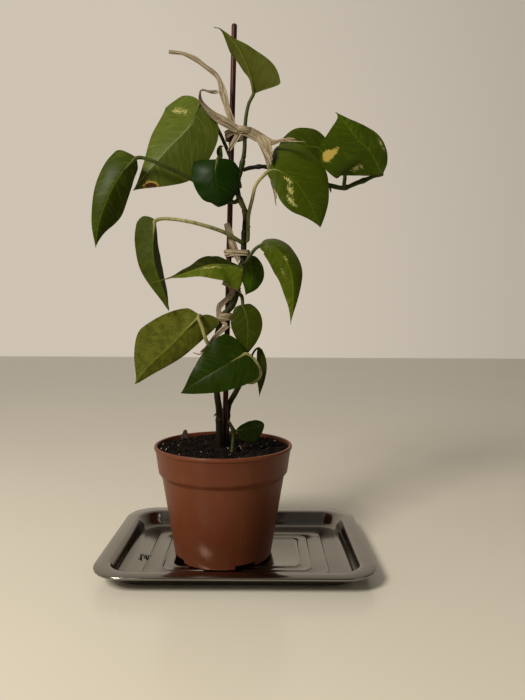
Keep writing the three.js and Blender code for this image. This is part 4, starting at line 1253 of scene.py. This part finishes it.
# %% The looks of each leaf
PALER_RIB, PALER_UNDER = 1.9, 1.5  # than the lighter green above, and than the under side
# The two factors for the halves paint shade or light onto each half; one and one paint nothing.
USUAL = {
    "deep": (0.02, 0.03, 0.001), "light": (0.04, 0.052, 0.004), "flecks": 0.35, "veins": 0.08,
    "fleck_tone": (0.12, 0.13, 0.02), "rib": 0.35, "roughness": 0.34, "gloss": 0.07,
    "under": (0.055, 0.062, 0.01), "spots": {}, "halves": (1, 1), "mottling": 0.25,
}
LOOKS = {
    "leaf_top": {"under": (0.066, 0.075, 0.009), "mottling": 0.15},
    "leaf_upper_left": {
        "deep": (0.058, 0.078, 0.006), "light": (0.098, 0.122, 0.017), "rib": 0.7, "veins": 0.2,
        # Painted shade on the left half.
        "flecks": 0.3, "halves": (0.7, 1), "rib_tone": (0.17, 0.18, 0.06),
        "spots": {"scar": [(0.87, -0.78, 0.045, 0.3, 1.15)], "straw": [(0.87, -0.72, 0.06, 0.42, 0.95)],
                  "cream": [(0.13, 0.42, 0.045, 0.3, 0.5), (0.17, 0.66, 0.035, 0.14, 0.5)]},
    },
    "leaf_far_left": {"deep": (0.024, 0.038, 0.001), "light": (0.06, 0.08, 0.005), "flecks": 0.55},
    "leaf_centre": {"deep": (0.005, 0.017, 0.0002), "light": (0.01, 0.027, 0.0004), "flecks": 0.0,
                    "veins": 0.0, "rib": 0.15, "roughness": 0.3, "gloss": 0.06},
    "leaf_left": {"under": (0.037, 0.049, 0.001), "spots": {"scar": [(0.45, -0.34, 0.05, 0.16, 0.42)]}},
    "leaf_middle_left": {"deep": (0.05, 0.07, 0.003), "light": (0.1, 0.112, 0.014), "flecks": 0.25,
                         # Painted light on the left half and painted shade on the right half.
                         "halves": (1.3, 0.26), "spots": {"cream": [(0.36, -0.2, 0.16, 0.12, 0.6)]}},
    "leaf_middle_right": {"deep": (0.043, 0.062, 0.001), "light": (0.085, 0.107, 0.007), "flecks": 0.6,
                          "spots": {"cream": [(0.33, -0.05, 0.05, 0.12, 0.6),
                                              (0.45, 0.45, 0.08, 0.14, 0.45)]}},
    "leaf_middle_back": {"deep": (0.03, 0.062, 0.001), "light": (0.048, 0.086, 0.002), "flecks": 0.1},
    "leaf_low_left": {"under": (0.088, 0.098, 0.009), "mottling": 0.35,
                      "spots": {"scar": [(0.43, 0.97, 0.06, 0.1, 0.8), (0.6, 0.3, 0.05, 0.2, 0.3)],
                                "straw": [(0.93, 0, 0.08, 1.2, 0.3), (0.6, -1, 0.2, 0.12, 0.35)]}},
    "leaf_low_front": {"deep": (0.01, 0.022, 0.0002), "light": (0.019, 0.036, 0.0006), "flecks": 0.2,
                       "rib": 0.3, "roughness": 0.3},
    "leaf_low_right": {"deep": (0.024, 0.034, 0.001), "light": (0.043, 0.057, 0.003), "flecks": 0.4},
    "leaf_low_small": {"deep": (0.02, 0.026, 0.002), "light": (0.04, 0.048, 0.005), "flecks": 0.6},
    "leaf_sprout": {"deep": (0.005, 0.01, 0.0004), "light": (0.009, 0.015, 0.001), "flecks": 0.0,
                    "veins": 0.05},
    "leaf_right": {"deep": (0.034, 0.05, 0.001), "light": (0.053, 0.074, 0.003), "flecks": 0.35,
                   "spots": {"cream": [(0.33, 0.17, 0.09, 0.12, 0.72), (0.45, 0.41, 0.08, 0.13, 0.8),
                                       (0.58, 0.66, 0.1, 0.13, 0.72)]}},
    "leaf_right_back": {"deep": (0.026, 0.04, 0.001), "light": (0.048, 0.067, 0.003), "flecks": 0.7},
    "leaf_far_right": {
        "deep": (0.031, 0.052, 0.001), "light": (0.056, 0.082, 0.003), "flecks": 0.75,
        "fleck_tone": (0.25, 0.25, 0.06),
        "spots": {"straw": [(0.61, -0.82, 0.035, 0.14, 1.0), (0.6, -0.6, 0.028, 0.2, 0.75)],
                  "cream": [(0.28, 0.8, 0.09, 0.13, 0.62), (0.24, -0.55, 0.07, 0.25, 0.6)]},
    },
    "young_leaf": {"deep": (0.014, 0.025, 0.002), "light": (0.022, 0.036, 0.003), "flecks": 0.0, "rib": 0.2},
}
for seed, (name, leaf) in enumerate(LEAVES.items(), 1):
    look = {**USUAL, **LOOKS[name], "seed": seed}
    look["under_rib"] = scaled(look["under"], PALER_UNDER)
    look.setdefault("rib_tone", scaled(look["light"], PALER_RIB))
    leaf.update(under_rib=look["under_rib"], spots=look["spots"], finish=leaf_finish(name + "_skin", look))
print("leaf finishes:", len(LEAVES))

# %% Growing the leaves
STALK_TONES = {
    "leaf_left": ((0.04, 0.05, 0.008), (0.38, 0.35, 0.15)),
    "leaf_low_left": ((0.06, 0.07, 0.012), (0.3, 0.27, 0.1)),
    "leaf_low_front": ((0.1, 0.11, 0.02), (0.36, 0.32, 0.13)),
    "leaf_right": ((0.06, 0.08, 0.012), (0.36, 0.32, 0.15)),
    "leaf_far_left": ((0.035, 0.044, 0.006), (0.03, 0.044, 0.004)),
}
PLAIN_STALK = ((0.026, 0.034, 0.005), (0.042, 0.054, 0.009))
SMALL_LEAVES, SMALL_STALK = ("leaf_sprout", "leaf_low_small", "young_leaf"), 0.62
STALK_EVERY, FEWEST_PLACES = 1.2, 16
RUN_SHARES, RUN_DROPS = (0, 0.06, 0.14, 0.24), (0.3, 0.5, 0.4, 0.1)  # under the blade


def root_of(place):
    """The nearest point inside a vine, where a stalk that starts at this place is rooted."""
    near = np.vstack([follow(vine["axis"], np.linspace(0, 1, 300))[0] for vine in VINES.values()])
    return near[np.argmin(np.linalg.norm(near - np.array(place), axis=1))]


def stalk_piece(name, leaf):
    """The stalk, run on under the blade as the thick start of its midrib."""
    places, forward, _ = follow(leaf["rib"], RUN_SHARES)
    start, end = (np.array(f, float) for f in leaf["face"])
    faces = crosswise(start + (end - start) * np.array(RUN_SHARES)[:, None], forward)
    below = list(places - np.array(RUN_DROPS)[:, None] * faces)
    axis = [root_of(leaf["stalk"][0])] + leaf["stalk"] + below
    length = length_of(axis)
    shares = np.linspace(0, 1, max(FEWEST_PLACES, int(length / STALK_EVERY)))
    line, _, _ = follow(axis, shares)
    end_share = 1 - length_of(below) / length
    thick = np.interp(shares, [0, 0.06, 0.9 * end_share, end_share, 1], [2.0, 1.75, 1.4, 1.55, 0.35])
    if name in SMALL_LEAVES:
        thick = thick * SMALL_STALK
    first, last = STALK_TONES.get(name, PLAIN_STALK)
    finish = stem_finish(name + "_stalk_skin", (0, first), (0.75 * end_share, last), (1, leaf["under_rib"]))
    return grow_limb(name + "_stalk", line, thick, finish, 14, ring=np.zeros(len(line)))


for name, leaf in LEAVES.items():
    settle(blade_piece(name + "_blade", leaf), "leaf", name)
    settle(stalk_piece(name, leaf), "leaf", name)

# %% [markdown]
# ## Raffia ties
#
# Raffia is a strip of palm leaf, dry and papery, which splits lengthwise into narrow
# fibres. Each tail is therefore a bundle: several narrow ribbons share one line, lie
# beside and over each other, twist a little, and end at different lengths. A ribbon is
# a thin gutter-shaped strip. The loops round the stake and the vine are ribbons too.

# %% Where the ties run, in millimetres
RAFFIA_TIES = {
  "raffia_upper": [
    {
      "line": [
        [-44.6, -16, 426.8], [-27.5, -16, 423.6], [-14, -15, 414.5], [-3.1, -14, 405.9], [0, -14, 393.3],
        [7, -14, 372], [13, -13.6, 364],
      ],
      "width": [2.6, 3, 3.4, 4, 4.5, 5, 6], "across": [0.4, 0, 1],
    },
    {
      "line": [
        [13, -13.6, 364], [2.4, -14, 370], [-10.7, -17, 377.1], [-17.7, -20.5, 384], [-18.6, -22, 390.2],
        [-15.9, -22, 394.4], [-10.9, -19, 393.2], [-1.6, -14.6, 396],
      ],
      "width": [7, 8, 8, 6, 4, 2.6, 2.6, 2.6], "across": [0.7, 0.45, 0.8],
    },
    {
      "line": [
        [13, -13.6, 364], [20, -13.6, 363], [28, -13, 359.5], [36, -12.5, 356.2], [41, -14.5, 353.6],
        [49, -21, 353.6], [54, -26.5, 352.4], [66.5, -33.5, 348.8],
      ],
      "width": [7, 7, 9, 6, 2.6, 2.4, 2.4, 2.2], "across": [0.3, 0, 1],
    },
    {
      "line": [[30, -13, 359], [36, -17.5, 350], [39.5, -23.5, 341], [41.5, -26.5, 333]],
      "width": [7, 7.5, 7, 4.5], "across": [1, 0, 0.3],
    },
    {
      "line": [[14.5, -13.6, 364], [9.5, -13.6, 356], [5, -13.2, 346.5]],
      "width": [5, 4.5, 3.4], "across": [1, 0, -0.6],
    },
    {
      "line": [
        [30, -12.4, 358], [36, -7.9, 345], [39, -7.8, 336], [41, -9, 326], [44, -12, 312],
        [45.5, -13, 302],
      ],
      "width": [5, 4, 4, 3.6, 3.6], "across": [1, 0, 0.3],
    },
  ],
  "raffia_middle": [
    {
      "line": [[2.6, -6, 288], [5, -6.5, 279], [8.5, -7.4, 268], [11.5, -8.3, 260], [14, -9.7, 254]],
      "width": [4.5, 5.5, 6, 5.5, 4], "across": [1, 0, 0.2],
    },
  ],
  "raffia_lower": [
    {
      "line": [[0, -11.6, 238], [7, -13.6, 235], [15.5, -13, 230.5]],
      "width": [4.5, 4.5, 3.6], "across": [0.3, 0, 1],
    },
    {
      "line": [
        [5, -13.4, 236], [8.5, -13.2, 229], [2, -13.4, 222], [-3.4, -13, 216], [-2, -13, 208],
        [4, -13.4, 201], [8.4, -13, 199.6],
      ],
      "width": [4, 4.4, 5, 5, 4.4, 4, 3.4], "across": [1, 0, 0.5],
    },
    {
      "line": [[4, -13.4, 201], [-5, -13.6, 193], [-13, -16, 183], [-19, -18, 177.6], [-24.3, -18.6, 179.2]],
      "width": [3.4, 3.4, 3.6, 4, 4], "across": [0.3, 0, 1],
    },
  ],
}
TIE_LOOPS = {
  "raffia_upper": { "z": 363.5, "centre": [12.9, -4.6], "half": [13, 7.6], "turn": -38, "height": 5 },
  "raffia_middle": { "z": 263, "centre": [11.3, -2.4], "half": [10.6, 5.7], "turn": -23, "height": 4.5 },
  "raffia_lower": { "z": 208, "centre": [2.6, -4.8], "half": [9.6, 7.4], "turn": -100, "height": 4.5 },
}
print("tails:", {name: len(tails) for name, tails in RAFFIA_TIES.items()})

# %% The finish of raffia
chance = np.random.default_rng(12)
straw = Finish("raffia_strip", Specular_IOR_Level=0.3)
across, along, shade = (straw.stored(name) for name in ("across", "along", "shade"))
fibres = straw.cloud(straw.join(straw.times(across, 1.9), straw.times(along, 0.05), shade), 1.6,
                     detail=5, roughness=0.65)
stain = straw.cloud(straw.join(straw.times(along, 0.07), shade), 1.0, detail=3)
tone = straw.ramp(fibres, (0.3, (0.08, 0.052, 0.025)), (0.5, (0.23, 0.18, 0.105)),
                  (0.72, (0.56, 0.48, 0.33)))
tone = straw.blend(straw.step(stain, 0.5, 0.75), tone, (0.2, 0.13, 0.085))
straw.set(Base_Color=tone, Roughness=0.72, Normal=straw.relief(fibres, 0.0004, 0.8))
print("finish:", straw.material.name)

# %% One ribbon
RIBBON_EVERY, FEWEST_RINGS = 1.6, 12
RIBBON_COLUMNS = 7
RIBBON_SHARP = 50


def at_shares(widths, shares):
    """Widths given at even steps of a line, read at any shares of it."""
    return np.interp(shares * (len(widths) - 1), range(len(widths)), widths)


def ribbon(name, line, widths, across, thickness, cup, wander, shade, twist=0.0):
    """A thin strip along a line; across is the way its width runs, and cup bends its section."""
    length = length_of(line)
    shares = np.linspace(0, 1, max(FEWEST_RINGS, int(length / RIBBON_EVERY)))
    places, forward, _ = follow(line, shares)
    phase = chance.uniform(0, 9)
    drift = [[noise.noise((s * length * 0.07, phase, k * 5.1)) for k in range(3)] for s in shares]
    places = places + np.array(drift) * wander
    wide = crosswise(np.array(across, float), forward)
    thick = np.cross(forward, wide)
    turn = twist * shares + 0.5 * np.array([noise.noise((s * length * 0.05, phase, 3)) for s in shares])
    turn = turn[:, None]
    wide, thick = wide * np.cos(turn) + thick * np.sin(turn), thick * np.cos(turn) - wide * np.sin(turn)
    half = at_shares(widths, shares) / 2
    u = np.linspace(-1, 1, RIBBON_COLUMNS)
    rings, ups = [], []
    for place, sideways, outwards, reach in zip(places, wide, thick, half):
        row = place + np.outer(u * reach, sideways) + np.outer(cup * reach * (u**2 - 0.5), outwards)
        skin = outwards * thickness / 2
        rings.append(np.vstack([row + skin, (row - skin)[::-1]]))
        ups.append(np.concatenate([u, u[::-1]]) * reach)
    piece = stack_rings(name, np.array(rings) * MM, straw.material, RIBBON_SHARP)
    size = 2 * RIBBON_COLUMNS
    keep_numbers(piece.data, "across", np.concatenate(ups))
    keep_numbers(piece.data, "along", np.repeat(shares * length, size))
    keep_numbers(piece.data, "shade", np.full(len(rings) * size, shade))
    return piece


print("a ribbon's ring has", 2 * RIBBON_COLUMNS, "points")

# %% Tails and loops of the ties
TAIL_PLACES, LOOP_PLACES = 9, 41
LOOP_RIBBONS, TAIL_RIBBONS, WIDE_TAIL_RIBBONS = 4, 4, 5
WIDE_TAIL = 5  # from this width a tail has one ribbon more


def tail(name, strip, count):
    """A bundle of ribbons along one line, which part and end at different lengths."""
    line, across = np.array(strip["line"], float), np.array(strip["across"], float)
    made = []
    for k in range(count):
        reach = 1.0 if k == 0 else chance.uniform(0.72, 0.98)
        shares = np.linspace(0.0, reach, TAIL_PLACES)
        places, forward, _ = follow(line, shares)
        wide = crosswise(across, forward)
        thick = np.cross(forward, wide)
        widths = at_shares(strip["width"], shares)
        spread = (k - (count - 1) / 2) / count
        place = places + wide * (spread * widths * 0.72)[:, None] + thick * (0.26 * (k % 3 - 1))
        part = 0.42 + 0.22 * chance.uniform()
        narrow = widths * part * np.interp(shares, [0, 0.8 * reach, reach], [1, 0.9, 0.35])
        made.append(ribbon(name, place, narrow, across, 0.22, twist=chance.uniform(-0.5, 0.5),
                           cup=chance.uniform(-0.35, 0.35), wander=0.9, shade=chance.uniform(0, 9)))
    return made


def wrap(name, loop, count):
    """Ribbons wound round the stake and the vine together."""
    made = []
    turn = math.radians(loop["turn"])
    for k in range(count):
        angles = np.linspace(0, 2 * math.pi, LOOP_PLACES) + chance.uniform(0, 6)
        grow = 0.3 + 0.3 * k
        x = (loop["half"][0] + grow) * np.cos(angles)
        y = (loop["half"][1] + grow) * np.sin(angles)
        tilt = chance.uniform(-0.12, 0.12)
        lift = (k - (count - 1) / 2) * loop["height"] / count * 0.8
        line = np.stack([loop["centre"][0] + x * math.cos(turn) - y * math.sin(turn),
                         loop["centre"][1] + x * math.sin(turn) + y * math.cos(turn),
                         loop["z"] + lift + tilt * x], 1)
        width = loop["height"] * chance.uniform(0.45, 0.65)
        made.append(ribbon(name, line, [width, width * 0.8, width], (0, 0, 1), 0.2, cup=0.12, wander=0.5,
                           shade=chance.uniform(0, 9)))
    return made


for name, tails in RAFFIA_TIES.items():
    ribbons = wrap(name, TIE_LOOPS[name], LOOP_RIBBONS)
    for strip in tails:
        count = WIDE_TAIL_RIBBONS if max(strip["width"]) > WIDE_TAIL else TAIL_RIBBONS
        ribbons += tail(name, strip, count)
    settle(join_pieces(name + "_ribbons", ribbons), "raffia", name)

# %% [markdown]
# ## Floor and light
#
# A pale, slightly glossy floor catches a soft shadow and a faint reflection. A lamp from
# the upper front left gives the plant its shape, and a wider, much weaker one from the
# right keeps the shaded sides readable. A warm grey sky fills the rest. It is brightest
# behind the plant and to its left, and that gives the steel something to reflect.

# %% The floor
FLOOR_HALF, FLOOR_LEVEL = 3.0, -0.0003
corners = [(sx * FLOOR_HALF, sy * FLOOR_HALF, FLOOR_LEVEL)
           for sx, sy in [(-1, -1), (1, -1), (1, 1), (-1, 1)]]
floor_mesh = bpy.data.meshes.new("floor")
floor_mesh.from_pydata(corners, [], [(0, 1, 2, 3)])
lacquer = Finish("pale_lacquer", roughness=0.22, Specular_IOR_Level=0.35)
cloudy = lacquer.cloud(lacquer.place(), 3, detail=3)
lacquer.set(Base_Color=lacquer.blend(cloudy, (0.62, 0.585, 0.49), (0.68, 0.645, 0.55)))
floor_mesh.materials.append(lacquer.material)
floor = add_object("floor", floor_mesh)
floor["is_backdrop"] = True
print("floor:", 2 * FLOOR_HALF, "m across")

# %% The sky
SKY_TONES = [(0.2, (0.1, 0.09, 0.08, 1)), (0.7, (0.4, 0.35, 0.29, 1)), (1, (0.62, 0.545, 0.45, 1))]
SKY_LEAN = -0.7  # how much of the brightness goes with left and right, against front and back
sky = bpy.data.worlds.new("studio")
sky.use_nodes = True
tree = sky.node_tree
facing = tree.nodes.new("ShaderNodeTexCoord")
split = tree.nodes.new("ShaderNodeSeparateXYZ")
lean = tree.nodes.new("ShaderNodeMath")
lean.operation = "MULTIPLY_ADD"
lean.inputs[1].default_value = SKY_LEAN
share = tree.nodes.new("ShaderNodeMapRange")
share.inputs["From Min"].default_value = -1.0
fade = tree.nodes.new("ShaderNodeValToRGB")
stops = fade.color_ramp.elements
stops.new(0.7)
for stop, (position, colour) in zip(stops, SKY_TONES):
    stop.position, stop.color = position, colour
link_all(
    tree,
    (facing, "Generated", split, 0), (split, "X", lean, 0), (split, "Y", lean, 2),
    (lean, 0, share, "Value"), (share, "Result", fade, "Fac"),
    (fade, "Color", tree.nodes["Background"], "Color"),
)
bpy.context.scene.world = sky
print("sky:", len(stops), "tones")

# %% The lamps
def soft_lamp(name, place, size, power, colour):
    """A square lamp that faces the middle of the plant."""
    data = bpy.data.lights.new(name, "AREA")
    data.size = size
    data.energy = power
    data.color = colour
    lamp = add_object(name, data)
    lamp.location = place
    lamp.rotation_euler = (LAMP_AIM - Vector(place)).to_track_quat("-Z", "Y").to_euler()
    print(name, power, "W")


LAMP_AIM = Vector((0, 0, 0.2))
soft_lamp("key_lamp", (-0.72, -0.9, 1.0), 0.4, 22, (1, 0.94, 0.84))
soft_lamp("fill_lamp", (1.1, -0.8, 0.7), 0.9, 1.0, (1, 0.95, 0.88))

# %% [markdown]
# ## Sizes at the end
#
# The visual model should keep the real size, so both boxes are printed side by side.

# %% Sizes, and done
low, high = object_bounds()
for k, axis in enumerate("xyz"):
    print(axis, "CAD", round(cad_low[k] / MM, 1), round(cad_high[k] / MM, 1),
          "visual", round(low[k] / MM, 1), round(high[k] / MM, 1))
